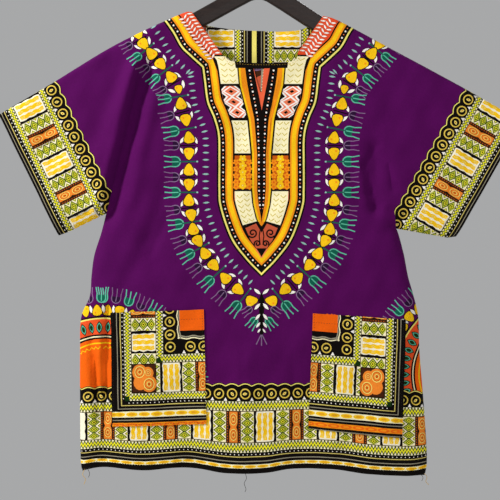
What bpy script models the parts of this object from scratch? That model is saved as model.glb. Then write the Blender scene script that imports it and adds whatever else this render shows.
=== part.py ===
"""A short-sleeved African wax-print shirt (dashiki) hung on a plain wishbone hanger.

The shirt hangs flat and empty. Its front faces -Y, +X is to the right of someone who looks
at the front, and +Z is up. The origin is the inner top of the hanger's hook, where a rail
holds it. Every cloth piece is a thin wall on one shape: a flat, slightly filled envelope,
whose half depth at each place falls to nothing at the shoulder folds and the side seams.
"""

from math import cos, pi, radians, sin

import bmesh
import bpy
import numpy as np
from mathutils import Matrix, Vector

MM = 0.001

# Cloth
CLOTH_WALL = 1.2 * MM
SEAM_GAP = 0.3 * MM
BACK_HEM_LONGER = 5 * MM

# How the empty shirt fills out
SHOULDER_NOSE = 9 * MM
SIDE_NOSE = 34 * MM
SLEEVE_FLATTER = 0.3

# Hanger
HOOK_INNER_RADIUS = 22 * MM
HOOK_ROD_RADIUS = 2 * MM
HOOK_END_ANGLE = radians(205)
HOOK_JOIN_ANGLE = radians(-62)
HANGER_TILT = radians(2)
HANGER_HALF_THICKNESS = 6 * MM
HANGER_TOP_DROP = 72 * MM

# The upper edge of the spread shirt, from cuff to neck and from neck to cuff: (x, drop) in mm.
UPPER_EDGE_LEFT = [(-457, 317), (-364, 262), (-254, 195.5), (-143.5, 143), (-121.6, 137.8)]
UPPER_EDGE_RIGHT = [(109.4, 144.8), (138, 154.4), (225, 201), (359, 273.4), (456, 329)]

# The neck's edge between its two shoulder points: (x, drop) in mm.
FRONT_NECK = [(-121.6, 137.8), (-68, 213), (-44, 226.5), (51, 226.5), (68, 204), (109.4, 144.8)]
BACK_NECK = [(-121.6, 137.8), (-96, 158.5), (-44, 166.5), (2, 169), (68, 167.5), (109.4, 144.8)]

# Armholes run straight from the shoulder to the underarm: (x, drop) in mm.
ARMHOLE_LEFT = [(-191, 165.5), (-270, 489.5)]
ARMHOLE_RIGHT = [(194, 184.5), (236, 516)]

# Lower corner of each cuff, and a point along the underside of the sleeve: (x, drop) in mm.
UNDERSIDE_LEFT = [(-353, 528), (-337, 522)]
UNDERSIDE_RIGHT = [(341, 530), (327, 532)]

# Side seams below the underarms: drop, left x, right x in mm.
SIDES = [
    (489, -270, 236),
    (525, -279, 240),
    (563, -291, 250),
    (600, -296, 257),
    (635, -299, 267),
    (672, -314, 275),
    (730, -316, 277),
    (816, -316, 284),
    (911, -315, 290),
    (950, -314, 288),
]

# How much lower each row hangs at the side seams than in the middle: drop, left, right in mm.
ROW_SAG = [
    (320, 0, 0),
    (490, -0.5, 26),
    (660, 6, 16),
    (860, 9, 14),
    (950, 0, 6),
]
SAG_STARTS = 91 * MM

# Half depth of the envelope down the shirt: drop, front, back in mm.
FULLNESS = [
    (140, 9.5, 11),
    (230, 11, 12),
    (350, 14, 13),
    (500, 17, 15),
    (660, 18, 16),
    (820, 18, 15),
    (950, 15, 13),
]

# Largest folds: panel, x and drop of both ends, half width, depth (inwards) in mm.
FOLDS = [
    ("front", -199, 240, -268, 500, 13, 8.5),
    ("front", -156, 414, -194, 537, 17, 4),
    ("front", -194, 537, -238, 624, 17, 4),
    ("front", 196, 374, 200, 484, 11, 5),
    ("front", 200, 484, 222, 515, 12, 5),
    ("front", -276, 760, -276, 960, 20, 5),
    ("front", -130, 800, -130, 960, 30, 6),
    ("front", 84, 780, 84, 960, 34, 6),
    ("front", -28, 760, -28, 960, 34, -4),
    ("front", 222, 700, 222, 960, 34, -5),
    ("back", 205, 250, 262, 500, 14, 7),
    ("back", -180, 300, -225, 520, 16, 6),
    ("back", -210, 740, -210, 960, 36, 5),
    ("back", -70, 640, -70, 960, 40, 6),
    ("back", 60, 700, 60, 960, 36, -5),
    ("back", 175, 760, 175, 960, 32, 6),
]

# Guide lines down the front and the back: x in mm at each drop, and the columns up to the next.
GUIDE_DROPS = [150, 238, 279, 320, 500, 660, 950]
GUIDES = [
    ([-176, -190, -197, -204, -236, -259, -259], 4),
    ([-121.6] * 7, 1),
    ([-119.6] * 7, 1),
    ([-115] * 7, 1),
    ([-107] * 7, 1),
    ([-96] * 7, 1),
    ([-68] * 7, 1),
    ([-44] * 7, 1),
    ([-12, -12, -1.5, -14, -15, -15, -15], 2),
    ([5, 5, 1.5, 14, 16, 16, 16], 1),
    ([51] * 7, 2),
    ([68] * 7, 1),
    ([91] * 7, 1),
    ([98] * 7, 1),
    ([104] * 7, 1),
    ([107.4] * 7, 1),
    ([109.4] * 7, 1),
    ([180, 191, 196, 200, 221, 250, 252], 4),
]
FLANK_SPLITS = [0.0, 0.4, 0.72, 0.9, 1.0]

# Rows near the top: distance below a shoulder edge, distance below the neck's edge, in mm.
TOP_ROWS = [(0, 0), (2.5, 2.5), (8, 7), (20, 11.5), (55, 31), (95, 52.5)]
ROW_DROPS = [320, 380, 440, 490, 535, 580, 620, 660, 700, 750, 805, 860, 900, 937]
SLIT_COLUMN_X = (-12, 5)
SLIT_ROWS = (3, 5)

POCKET_TOP_DROP = 660
POCKET_BOTTOM_DROP = 860
POCKET_COLUMNS = {"pocket_left": (-259, -96), "pocket_right": (91, 252)}
FACING_COLUMNS = (-96, 91)
FACING_ROWS = 5

UNDERARM_ROW_DROP = 490
UNDERARM_CLEAR = 1.5
SLEEVE_RINGS = 8

# Points of a sleeve's section: distance from its upper fold, from its lower edge, in mm.
RING_FROM_FOLD = [0, 2.5, 8, 20]
RING_FROM_LOWER = [24, 9, 0]
RING_BETWEEN = 3

# The hanger's arm, out from its middle: distance out, drop of upper edge, of lower edge, in mm.
ARM = [
    (0, 72, 114),
    (14, 76, 119),
    (40, 98, 134),
    (80, 122.5, 158),
    (117, 145, 178.5),
    (165, 166.5, 197),
    (200, 181, 209),
    (211, 187, 208),
    (216, 193, 203),
]
ARM_SECTION_POINTS = 14

COLOURS = {
    "purple_cotton": ((0.078, 0.002, 0.100), 0.75, 0.0),
    "border_cotton": ((0.560, 0.420, 0.060), 0.75, 0.0),
    "dark_wood": ((0.030, 0.018, 0.014), 0.45, 0.0),
    "hook_steel": ((0.550, 0.550, 0.560), 0.30, 1.0),
}


def clear_scene():
    for item in list(bpy.data.objects):
        bpy.data.objects.remove(item, do_unlink=True)


def material(name):
    colour, roughness, metallic = COLOURS[name]
    made = bpy.data.materials.get(name) or bpy.data.materials.new(name)
    made.use_nodes = True
    shader = made.node_tree.nodes["Principled BSDF"]
    shader.inputs["Base Color"].default_value = (*colour, 1.0)
    shader.inputs["Roughness"].default_value = roughness
    shader.inputs["Metallic"].default_value = metallic
    return made


def line_height(points, x):
    """Height in metres, at x metres, of a line through (x, drop) points in mm."""
    across, drop = np.array(points).T
    return -np.interp(x / MM, across, drop) * MM


def side_x(drop, column):
    """x in metres of a side seam at this drop in mm: column 1 is the left, 2 the right."""
    table = np.array(SIDES)
    return float(np.interp(drop, table[:, 0], table[:, column])) * MM


def edge_x(z, left):
    """x of the panels' edge at height z: the armhole, and the side seam below it."""
    (x0, drop0), (x1, drop1) = ARMHOLE_LEFT if left else ARMHOLE_RIGHT
    drop = -z / MM
    gap = SEAM_GAP / 2 * (1 if left else -1)
    if drop > drop1:
        return side_x(drop, 1 if left else 2) + gap
    return float(np.interp(drop, (drop0, drop1), (x0, x1))) * MM + gap


def distance_to(points, x, z):
    """Distance in metres from (x, z) to a line through (x, drop) points in mm, with its place."""
    best, place = 1e9, 0.0
    corners = [(a * MM, -b * MM) for a, b in points]
    for index, ((ax, az), (bx, bz)) in enumerate(zip(corners, corners[1:])):
        run_x, run_z = bx - ax, bz - az
        length = run_x * run_x + run_z * run_z
        along = min(1.0, max(0.0, ((x - ax) * run_x + (z - az) * run_z) / length))
        gap = ((x - ax - along * run_x) ** 2 + (z - az - along * run_z) ** 2) ** 0.5
        if gap < best:
            best, place = gap, (index + along) / (len(corners) - 1)
    return best, place


def outline_below(left):
    """The outline from the cuff's lower corner to the underarm and down the side seam."""
    corner, bend = UNDERSIDE_LEFT if left else UNDERSIDE_RIGHT
    armhole = ARMHOLE_LEFT if left else ARMHOLE_RIGHT
    column = 1 if left else 2
    seam = [(row[column], row[0]) for row in SIDES if row[0] > armhole[1][1]]
    return [corner, bend, armhole[1], *seam]


UPPER_EDGE = UPPER_EDGE_LEFT + UPPER_EDGE_RIGHT
OUTLINES = {True: outline_below(True), False: outline_below(False)}


def rounded(ratio):
    """Rises from 0 to 1 along a quarter of a circle."""
    return (1 - (1 - min(1.0, max(0.0, ratio))) ** 2) ** 0.5


def half_depth(x, z, panel):
    """Half depth of the envelope at (x, z): full inside, falling round to 0 at folds and seams."""
    table = np.array(FULLNESS)
    full = float(np.interp(-z / MM, table[:, 0], table[:, 1 if panel == "front" else 2])) * MM
    full *= 1 - SLEEVE_FLATTER * min(1.0, max(0.0, (abs(x) - 0.2) / 0.2))
    for kind, x0, drop0, x1, drop1, width, depth in FOLDS:
        if kind == panel:
            gap, place = distance_to([(x0, drop0), (x1, drop1)], x, z)
            full -= depth * MM * float(np.exp(-((gap / (width * MM)) ** 2)))
    below_top = line_height(UPPER_EDGE, x) - z
    from_side = distance_to(OUTLINES[x < 0], x, z)[0]
    return full * rounded(below_top / SHOULDER_NOSE) * rounded(from_side / SIDE_NOSE)


def surface(x, z, panel):
    """The middle of the cloth's wall at (x, z)."""
    depth = half_depth(x, z, panel)
    return (x, -depth if panel == "front" else depth, z)


def column_lines():
    """Each column as x at the guide drops, with None for the two panel edges."""
    lines = []
    for (here, count), (there, _) in zip(GUIDES, GUIDES[1:]):
        for step in range(count):
            mix = step / count
            lines.append(np.array(here) * (1 - mix) + np.array(there) * mix)
    lines.append(np.array(GUIDES[-1][0]))
    return lines


def row_sag(x, z, drop):
    """How much lower a row hangs at x than in the middle."""
    table = np.array(ROW_SAG)
    share = (abs(x) - SAG_STARTS) / (abs(edge_x(z, x < 0)) - SAG_STARTS)
    return max(0.0, share) * float(np.interp(drop, table[:, 0], table[:, 1 if x < 0 else 2])) * MM


def panel_grid(panel):
    """Grid of points (row, column, xyz) on the middle of a body panel's wall."""
    neck = FRONT_NECK if panel == "front" else BACK_NECK
    top_line = UPPER_EDGE_LEFT[:-1] + neck + UPPER_EDGE_RIGHT[1:]
    inner_lines = column_lines()
    last = len(TOP_ROWS) + len(ROW_DROPS) - 1
    longer = BACK_HEM_LONGER if panel == "back" else 0.0

    def place(line_x, left_share, right_share, row):
        x = line_x(165.0)
        z = -165 * MM
        for _ in range(6):
            top = line_height(top_line, x)
            if row < len(TOP_ROWS):
                in_neck = min(1.0, (line_height(UPPER_EDGE, x) - top) / 0.06)
                below = TOP_ROWS[row][0] * (1 - in_neck) + TOP_ROWS[row][1] * in_neck
                z = top - below * MM
            else:
                drop = ROW_DROPS[row - len(TOP_ROWS)]
                z = -drop * MM - row_sag(x, z, drop) - (longer if row == last else 0.0)
            inner = line_x(-z / MM)
            x = inner + left_share * (edge_x(z, True) - inner)
            x += right_share * (edge_x(z, False) - inner)
        return x, z

    columns = []
    for share in FLANK_SPLITS[:0:-1]:
        columns.append((inner_lines[0], share, 0.0))
    columns += [(line, 0.0, 0.0) for line in inner_lines]
    for share in FLANK_SPLITS[1:]:
        columns.append((inner_lines[-1], 0.0, share))
    grid = np.empty((last + 1, len(columns), 3))
    for row in range(last + 1):
        for number, (line, left_share, right_share) in enumerate(columns):

            def line_x(drop, line=line):
                return float(np.interp(drop, GUIDE_DROPS, line)) * MM

            x, z = place(line_x, left_share, right_share, row)
            grid[row, number] = surface(x, z, panel)
    return grid


def grid_normals(grid, outward, closed=False):
    """Unit normals of a grid, from its differences along rows and columns."""
    down = np.gradient(grid, axis=0)
    if closed:
        across = np.roll(grid, -1, axis=1) - np.roll(grid, 1, axis=1)
    else:
        across = np.gradient(grid, axis=1)
    normals = np.cross(down, across)
    normals /= np.linalg.norm(normals, axis=2, keepdims=True)
    return normals * outward


def clear_seam(points, outward_y):
    """Slides a pair of wall points in Y until both keep half a seam's gap from the seam plane."""
    signed = points[..., 1] * outward_y
    lacking = np.maximum(0.0, SEAM_GAP / 2 - signed.min(axis=0))
    points[..., 1] += outward_y * lacking
    return points


def square_to_seam(normals, armhole):
    """Turns normals along an armhole into its own plane, so that both sides keep their gap."""
    (x0, drop0), (x1, drop1) = armhole
    across = np.array([drop1 - drop0, 0.0, x1 - x0])
    across /= np.linalg.norm(across)
    turned = normals - (normals @ across)[:, None] * across
    return turned / np.linalg.norm(turned, axis=1, keepdims=True)


def make_object(name, points, faces, slot):
    mesh = bpy.data.meshes.new(name)
    mesh.from_pydata([tuple(point) for point in points], [], faces)
    shape = bmesh.new()
    shape.from_mesh(mesh)
    bmesh.ops.recalc_face_normals(shape, faces=shape.faces)
    shape.to_mesh(mesh)
    shape.free()
    mesh.materials.append(material(slot))
    mesh.shade_smooth()
    mesh.set_sharp_from_angle(angle=radians(50))
    item = bpy.data.objects.new(name, mesh)
    bpy.context.scene.collection.objects.link(item)
    return item


def cloth_wall(name, slot, outer, inner, left_out=(), closed=False):
    """A closed wall between two grids of points, with rims along every free edge."""
    rows, columns = outer.shape[:2]
    steps = columns if closed else columns - 1
    count = rows * columns
    halves = []
    for row in range(rows - 1):
        for column in range(steps):
            if (row, column) in left_out:
                continue
            beside = (column + 1) % columns
            a, b = row * columns + column, row * columns + beside
            c, d = b + columns, a + columns
            halves += [(a, b, c), (a, c, d)]
    edges = {(half[k], half[(k + 1) % 3]) for half in halves for k in range(3)}
    rims = [(b, a, a + count, b + count) for a, b in edges if (b, a) not in edges]
    backs = [[corner + count for corner in reversed(half)] for half in halves]
    points = np.concatenate([outer.reshape(-1, 3), inner.reshape(-1, 3)])
    return make_object(name, points, halves + backs + sorted(rims), slot)


def make_panel(name, panel, left_out=()):
    grid = panel_grid(panel)
    outward_y = -1 if panel == "front" else 1
    normals = grid_normals(grid, 1)
    normals *= np.sign(normals[..., 1:2].mean()) * outward_y
    to_underarm = len(TOP_ROWS) + ROW_DROPS.index(UNDERARM_ROW_DROP) + 1
    normals[:to_underarm, 0] = square_to_seam(normals[:to_underarm, 0], ARMHOLE_LEFT)
    normals[:to_underarm, -1] = square_to_seam(normals[:to_underarm, -1], ARMHOLE_RIGHT)
    half = normals * CLOTH_WALL / 2
    outer, inner = clear_seam(np.stack([grid + half, grid - half]), outward_y)
    cloth_wall(name, "purple_cotton", outer, inner, left_out)
    return grid, normals


def nearest_column(grid, x, row):
    return int(np.argmin(np.abs(grid[row, :, 0] - x * MM)))


def make_patch(name, slot, panel, rows, columns, side):
    """A flat piece that lies on a panel: the panel's own points, moved out by wall and gap."""
    grid, normals = panel
    part = (slice(rows[0], rows[1] + 1), slice(columns[0], columns[1] + 1))
    centre = grid[part] + normals[part] * side * (CLOTH_WALL + SEAM_GAP)
    half = normals[part] * CLOTH_WALL / 2
    cloth_wall(name, slot, centre + half, centre - half)


def make_sleeve(name, left):
    """A flattened tube from the armhole to the open cuff, with its fold along the top."""
    upper = UPPER_EDGE_LEFT[::-1] if left else UPPER_EDGE_RIGHT
    armhole = ARMHOLE_LEFT if left else ARMHOLE_RIGHT
    corner, bend = UNDERSIDE_LEFT if left else UNDERSIDE_RIGHT
    underarm = (armhole[1][0], armhole[1][1] - UNDERARM_CLEAR)
    lower = [underarm, bend, corner]
    sign = -1 if left else 1
    gap = SEAM_GAP / 2 / MM * sign
    rings = []
    for step in range(SLEEVE_RINGS):
        share = step / (SLEEVE_RINGS - 1)
        top_x = (armhole[0][0] + gap) * (1 - share) + upper[-1][0] * share
        low_x = (underarm[0] + gap) * (1 - share) + corner[0] * share
        top = np.array([top_x, -line_height(sorted(upper), top_x * MM) / MM])
        low = np.array([low_x, -line_height(sorted(lower), low_x * MM) / MM])
        length = np.linalg.norm(low - top)
        lowest = [length - distance for distance in RING_FROM_LOWER]
        between = np.linspace(RING_FROM_FOLD[-1], lowest[0], RING_BETWEEN + 2)[1:-1]
        downs = [distance / length for distance in (*RING_FROM_FOLD, *between, *lowest)]
        ring = []
        for panel, shares in (("front", downs), ("back", downs[-2:0:-1])):
            for down in shares:
                x, drop = top * (1 - down) + low * down
                ring.append(surface(x * MM, -drop * MM, panel))
        rings.append(ring)
    grid = np.array(rings)
    half_ring = len(downs) - 1
    grid[:, [0, half_ring], 1] = 0.0
    normals = grid_normals(grid, 1, closed=True)
    front_middle = normals[:, half_ring // 2, 1].mean()
    normals *= -np.sign(front_middle)
    normals[0] = square_to_seam(normals[0], armhole)
    half = normals * CLOTH_WALL / 2
    cloth_wall(name, "purple_cotton", grid + half, grid - half, closed=True)


def hanger_turn():
    """The hanger hangs a little off level, turned about the middle of its hook."""
    centre = Vector((0, 0, -HOOK_INNER_RADIUS))
    return Matrix.Translation(centre) @ Matrix.Rotation(HANGER_TILT, 4, "Y") @ Matrix.Translation(-centre)


def make_hanger_bar():
    """Both arms as one loft of upright sections with rounded upper and lower edges."""
    stations = [(-out, up, low) for out, up, low in ARM[:0:-1]] + list(ARM)
    rings = []
    for out, up, low in stations:
        centre = -(up + low) / 2 * MM
        reach = (low - up) / 2 * MM
        flat = min(HANGER_HALF_THICKNESS, reach)
        ring = []
        for number in range(ARM_SECTION_POINTS):
            angle = 2 * pi * number / ARM_SECTION_POINTS
            straight = (reach - flat) * np.sign(round(sin(angle), 6))
            ring.append((out * MM, flat * cos(angle), centre + straight + flat * sin(angle)))
        rings.append(ring)
    points = [tuple(hanger_turn() @ Vector(point)) for ring in rings for point in ring]
    faces = []
    for row in range(len(rings) - 1):
        for column in range(ARM_SECTION_POINTS):
            beside = (column + 1) % ARM_SECTION_POINTS
            corners = ((row, column), (row, beside), (row + 1, beside), (row + 1, column))
            faces.append([r * ARM_SECTION_POINTS + c for r, c in corners])
    last = (len(rings) - 1) * ARM_SECTION_POINTS
    faces.append(list(range(ARM_SECTION_POINTS)))
    faces.append([last + number for number in range(ARM_SECTION_POINTS)])
    make_object("hanger_bar", points, faces, "dark_wood")


def hook_route():
    """The rod's route: up its stem, out in a soft bend, and round the hook's circle."""
    radius = HOOK_INNER_RADIUS + HOOK_ROD_RADIUS
    start = Vector((0, 0, -HANGER_TOP_DROP + SEAM_GAP))
    leave = Vector((0, 0, -60 * MM))
    join = Vector((radius * cos(HOOK_JOIN_ANGLE), 0, radius * sin(HOOK_JOIN_ANGLE) - HOOK_INNER_RADIUS))
    heading = Vector((-sin(HOOK_JOIN_ANGLE), 0, cos(HOOK_JOIN_ANGLE)))
    first, second = leave + Vector((0, 0, 9 * MM)), join - heading * 8 * MM
    route = [start]
    for step in range(7):
        t = step / 6
        route.append(leave * (1 - t) ** 3 + first * 3 * t * (1 - t) ** 2
                     + second * 3 * t * t * (1 - t) + join * t**3)
    for step in range(1, 25):
        angle = HOOK_JOIN_ANGLE + (HOOK_END_ANGLE - HOOK_JOIN_ANGLE) * step / 24
        route.append(Vector((radius * cos(angle), 0, radius * sin(angle) - HOOK_INNER_RADIUS)))
    return [hanger_turn() @ point for point in route]


def make_hanger_hook():
    curve = bpy.data.curves.new("hanger_hook", "CURVE")
    curve.dimensions = "3D"
    curve.bevel_depth = HOOK_ROD_RADIUS
    curve.bevel_resolution = 3
    curve.use_fill_caps = True
    route = hook_route()
    spline = curve.splines.new("POLY")
    spline.points.add(len(route) - 1)
    for point, place in zip(spline.points, route):
        point.co = (*place, 1.0)
    curve.materials.append(material("hook_steel"))
    bpy.context.scene.collection.objects.link(bpy.data.objects.new("hanger_hook", curve))


def make_shirt():
    grid = panel_grid("front")
    slit_row = SLIT_ROWS[0]
    first = nearest_column(grid, SLIT_COLUMN_X[0], slit_row)
    last = nearest_column(grid, SLIT_COLUMN_X[1], slit_row)
    slit = {(row, column) for row in range(*SLIT_ROWS) for column in range(first, last)}
    front = make_panel("front_panel", "front", slit)
    back = make_panel("back_panel", "back")
    make_sleeve("sleeve_left", True)
    make_sleeve("sleeve_right", False)
    rows = [len(TOP_ROWS) + ROW_DROPS.index(drop) for drop in (POCKET_TOP_DROP, POCKET_BOTTOM_DROP)]
    for name, ends in POCKET_COLUMNS.items():
        columns = [nearest_column(front[0], end, rows[0]) for end in ends]
        make_patch(name, "border_cotton", front, rows, columns, 1)
    columns = [nearest_column(back[0], end, 0) for end in FACING_COLUMNS]
    make_patch("neck_facing", "border_cotton", back, (0, FACING_ROWS), columns, -1)


clear_scene()
make_shirt()
make_hanger_bar()
make_hanger_hook()
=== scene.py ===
import bpy
import numpy as np
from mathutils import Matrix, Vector
from mathutils.geometry import delaunay_2d_cdt


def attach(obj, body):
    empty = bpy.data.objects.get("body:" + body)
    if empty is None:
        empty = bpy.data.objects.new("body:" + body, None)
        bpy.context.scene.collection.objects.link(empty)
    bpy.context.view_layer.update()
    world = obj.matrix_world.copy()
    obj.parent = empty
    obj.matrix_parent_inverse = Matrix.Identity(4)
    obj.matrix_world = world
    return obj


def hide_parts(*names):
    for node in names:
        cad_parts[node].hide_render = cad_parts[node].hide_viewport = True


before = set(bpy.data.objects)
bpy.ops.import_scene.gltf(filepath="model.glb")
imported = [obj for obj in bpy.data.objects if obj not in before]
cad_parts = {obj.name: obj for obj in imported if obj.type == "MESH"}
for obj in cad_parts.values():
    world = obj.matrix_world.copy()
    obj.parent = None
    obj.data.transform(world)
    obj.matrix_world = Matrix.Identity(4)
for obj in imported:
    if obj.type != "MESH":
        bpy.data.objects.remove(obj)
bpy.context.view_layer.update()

# A wax-print shirt hung flat on a wishbone hanger. All work on the cloth is done in the flat: x in mm to
# the right of the hook, and drop in mm below its inner top.
mm = 0.001


def toLinear(hexColour):  # sRGB hex to linear: c/12.92 in the dark, else ((c+0.055)/1.055)^2.4
    parts = np.array([int(hexColour[k:k + 2], 16) for k in (1, 3, 5)]) / 255
    return np.where(parts <= 0.04045, parts / 12.92, ((parts + 0.055) / 1.055) ** 2.4)


def node(tree, kind, settings=None, **links):  # adds one node: settings by name, links or values by socket
    made = tree.nodes.new("ShaderNode" + kind)
    for name, value in (settings or {}).items():
        setattr(made, name, value)
    for name, value in links.items():
        wanted = name.replace("_", " ")
        socket = made.inputs[int(name[1:])] if name[1:].isdigit() else made.inputs[wanted]
        if isinstance(value, bpy.types.NodeSocket):
            tree.links.new(value, socket)
        else:
            socket.default_value = value
    return made


def newMaterial(name):  # a material with its node tree and its shader
    made = bpy.data.materials.new(name)
    made.use_nodes = True
    return made, made.node_tree, made.node_tree.nodes["Principled BSDF"]


def finishSurface(tree, shader, height, bump, rough, dull):
    # height gives the bump, by (strength, distance in m); rough, 0 to 1, is spread between dull's two values
    raised = node(tree, "Bump", Height=height, Strength=bump[0], Distance=bump[1])
    tree.links.new(raised.outputs["Normal"], shader.inputs["Normal"])
    spread = node(tree, "MapRange", Value=rough, i3=dull[0], i4=dull[1])
    tree.links.new(spread.outputs["Result"], shader.inputs["Roughness"])


def placed(name, data):  # an object at the origin, linked into the scene
    item = bpy.data.objects.new(name, data)
    bpy.context.scene.collection.objects.link(item)
    return item


# The shirt's form: one flat, slightly filled envelope.
form = {
    "leastDepth": 2.2, "shoulderNose": 9.0, "sideNose": 34.0, "sleeveFlatter": 0.3, "sleeveStarts": 200,
    # where the hem's two corners are rounded off: x of the hem's end, drop of the side's end
    "hemCorners": [(-313, 930), (287, 936)],
    # upper edge from cuff to cuff, necks, armholes and sleeve undersides: (x, drop) in mm
    "upperLeft": [(-457, 317), (-364, 262), (-254, 195.5), (-143.5, 143), (-121.6, 137.8)],
    "upperRight": [(109.4, 144.8), (138, 154.4), (225, 201), (359, 273.4), (456, 329)],
    "frontNeck": [(-121.6, 137.8), (-68, 213), (-63, 216), (-44, 226.5), (51, 226.5),
                  (68, 204), (109.4, 144.8)],
    "backNeck": [(-121.6, 137.8), (-96, 158.5), (-44, 166.5), (2, 169), (68, 167.5), (109.4, 144.8)],
    "armholeLeft": [(-191, 165.5), (-270, 489.5)], "armholeRight": [(194, 184.5), (236, 516)],
    "hem": [(-316, 936), (-276, 931), (-205, 936), (-130, 932), (-59, 941), (4, 941), (51, 935),
            (126, 935), (191, 943), (257, 946), (290, 943)],
    "backHemLonger": 5.0,
    "sag": [(320, 0, 0), (490, -0.5, 26), (660, 6, 16), (860, 9, 14), (950, 0, 6)], "sagStarts": 91.0,
    "underLeft": [(-353, 528), (-337, 522)], "underRight": [(341, 530), (327, 532)],
    # side seams: drop, left x, right x
    "sides": [(489, -270, 236), (525, -279, 240), (563, -291, 250), (600, -296, 257), (635, -299, 267),
              (672, -314, 275), (730, -316, 277), (816, -316, 284), (911, -315, 290), (950, -314, 288)],
    # half depth: drop, front, back
    "fullness": [(140, 9.5, 11), (230, 11, 12), (350, 14, 13), (500, 17, 15), (660, 18, 16),
                 (820, 18, 15), (950, 15, 13)],
}

# creases pressed or hung into each panel: x and drop of both ends, half width, depth inwards
creases = {
    "front": [
        (-199, 240, -268, 500, 13, 8.5), (-198, 230, -262, 488, 10, 9.0),
        (-218, 232, -286, 488, 12, -8.5), (-292, 742, -283, 852, 5, 4.5), (-275, 742, -270, 852, 4, 3.5),
        (-180, 260, -226, 470, 12, -5.0), (-150, 470, -190, 560, 7, 2.5),
        (-266, 652, -270, 800, 4.5, 7.0), (-296, 690, -285, 812, 5, 6.0),
        (-281, 690, -277, 812, 6, -4.0), (262, 700, 270, 860, 6, 3.0), (-156, 414, -194, 537, 17, 4),
        (-194, 537, -238, 624, 17, 4), (196, 374, 200, 484, 11, 5), (200, 484, 222, 515, 12, 5),
        (-276, 760, -276, 960, 20, 5), (-130, 800, -130, 960, 30, 6), (84, 780, 84, 960, 34, 6),
        (-28, 760, -28, 960, 34, -4), (222, 700, 222, 960, 34, -5), (200, 374, 180, 405, 5, 2.0),
        (180, 405, 189, 453, 5, 3.4), (170, 400, 180, 470, 7, -2.5), (189, 453, 201, 488, 5, 3.2),
        (222, 409, 231, 449, 5, 3.2), (224, 486, 252, 494, 8, 4.0), (252, 494, 238, 524, 8, 4.0),
        (205, 488, 252, 563, 9, -3.5), (-31, 735, -33, 800, 5, 1.4), (56, 740, 58, 800, 5, 1.3),
        (-222, 236, -296, 430, 12, -5.0), (-296, 560, -232, 640, 8, 2.4), (-300, 590, -250, 700, 7, 1.8),
    ],
    "back": [
        (205, 250, 262, 500, 14, 7), (-180, 300, -225, 520, 16, 6), (-210, 740, -210, 960, 36, 5),
        (-70, 640, -70, 960, 40, 6), (60, 700, 60, 960, 36, -5), (175, 760, 175, 960, 32, 6),
        (120, 300, 60, 420, 14, 2.5), (-120, 640, -200, 720, 10, 2.0),
    ],
}
# slow waves all over the cloth: x and drop per wave in mm, size, phase
waves = [(83, 310, 0.8, 0.4), (-140, 95, 0.6, 2.1), (57, -160, 0.5, 4.0), (210, 61, 0.5, 1.2),
         (38, 74, 0.28, 5.2)]


def smooth(points, step):  # Catmull-Rom curve through the points, about a point per step
    p = np.array(points, float)
    ends = np.concatenate([[2 * p[0] - p[1]], p, [2 * p[-1] - p[-2]]])
    runs = []
    for a, b, c, e in zip(ends[:-3], ends[1:-2], ends[2:-1], ends[3:]):
        count = max(1, int(np.ceil(np.linalg.norm(c - b) / step)))
        t = (np.arange(count) / count)[:, None]
        runs.append(0.5 * (2 * b + (c - a) * t + (2 * a - 5 * b + 4 * c - e) * t ** 2
                           + (3 * b - a - 3 * c + e) * t ** 3))
    return np.concatenate(runs + [p[-1:]])


def straight(points, gap=4.0):  # the same line with points at most this far apart
    p = np.array(points, float)
    runs = []
    for a, b in zip(p[:-1], p[1:]):
        count = max(1, int(np.ceil(np.linalg.norm(b - a) / gap)))
        t = (np.arange(count) / count)[:, None]
        runs.append(a * (1 - t) + b * t)
    return np.concatenate(runs + [p[-1:]])


upperLeft, upperRight = smooth(form["upperLeft"], 4), smooth(form["upperRight"], 4)
upper = np.concatenate([upperLeft, upperRight])
hemLine = smooth(form["hem"], 4)


def distanceTo(points, x, d):  # least distance from each (x, d) to the line's segments
    line = np.array(points, float)
    best = np.full(np.shape(x), 1e9)
    for (ax, ad), (bx, bd) in zip(line[:-1], line[1:]):
        run = np.array([bx - ax, bd - ad])
        along = np.clip(((x - ax) * run[0] + (d - ad) * run[1]) / (run @ run), 0, 1)
        best = np.minimum(best, np.hypot(x - ax - along * run[0], d - ad - along * run[1]))
    return best


def sideSeam(left):  # from the underarm down
    column = 1 if left else 2
    underarm = form["armholeLeft" if left else "armholeRight"][1]
    return smooth([underarm] + [(row[column], row[0]) for row in form["sides"] if row[0] > underarm[1]], 8)


def underside(left):  # from the cuff's lower corner to the underarm
    corners, armhole = ("underLeft", "armholeLeft") if left else ("underRight", "armholeRight")
    return [*form[corners], form[armhole][1]]


seams = {left: np.concatenate([underside(left)[:2], sideSeam(left)]) for left in (True, False)}


def rounded(ratio):  # quarter circle: sqrt(1 - (1 - r)^2), 0 at the fold and 1 inside
    return np.sqrt(1 - (1 - np.clip(ratio, 0, 1)) ** 2)


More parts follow.
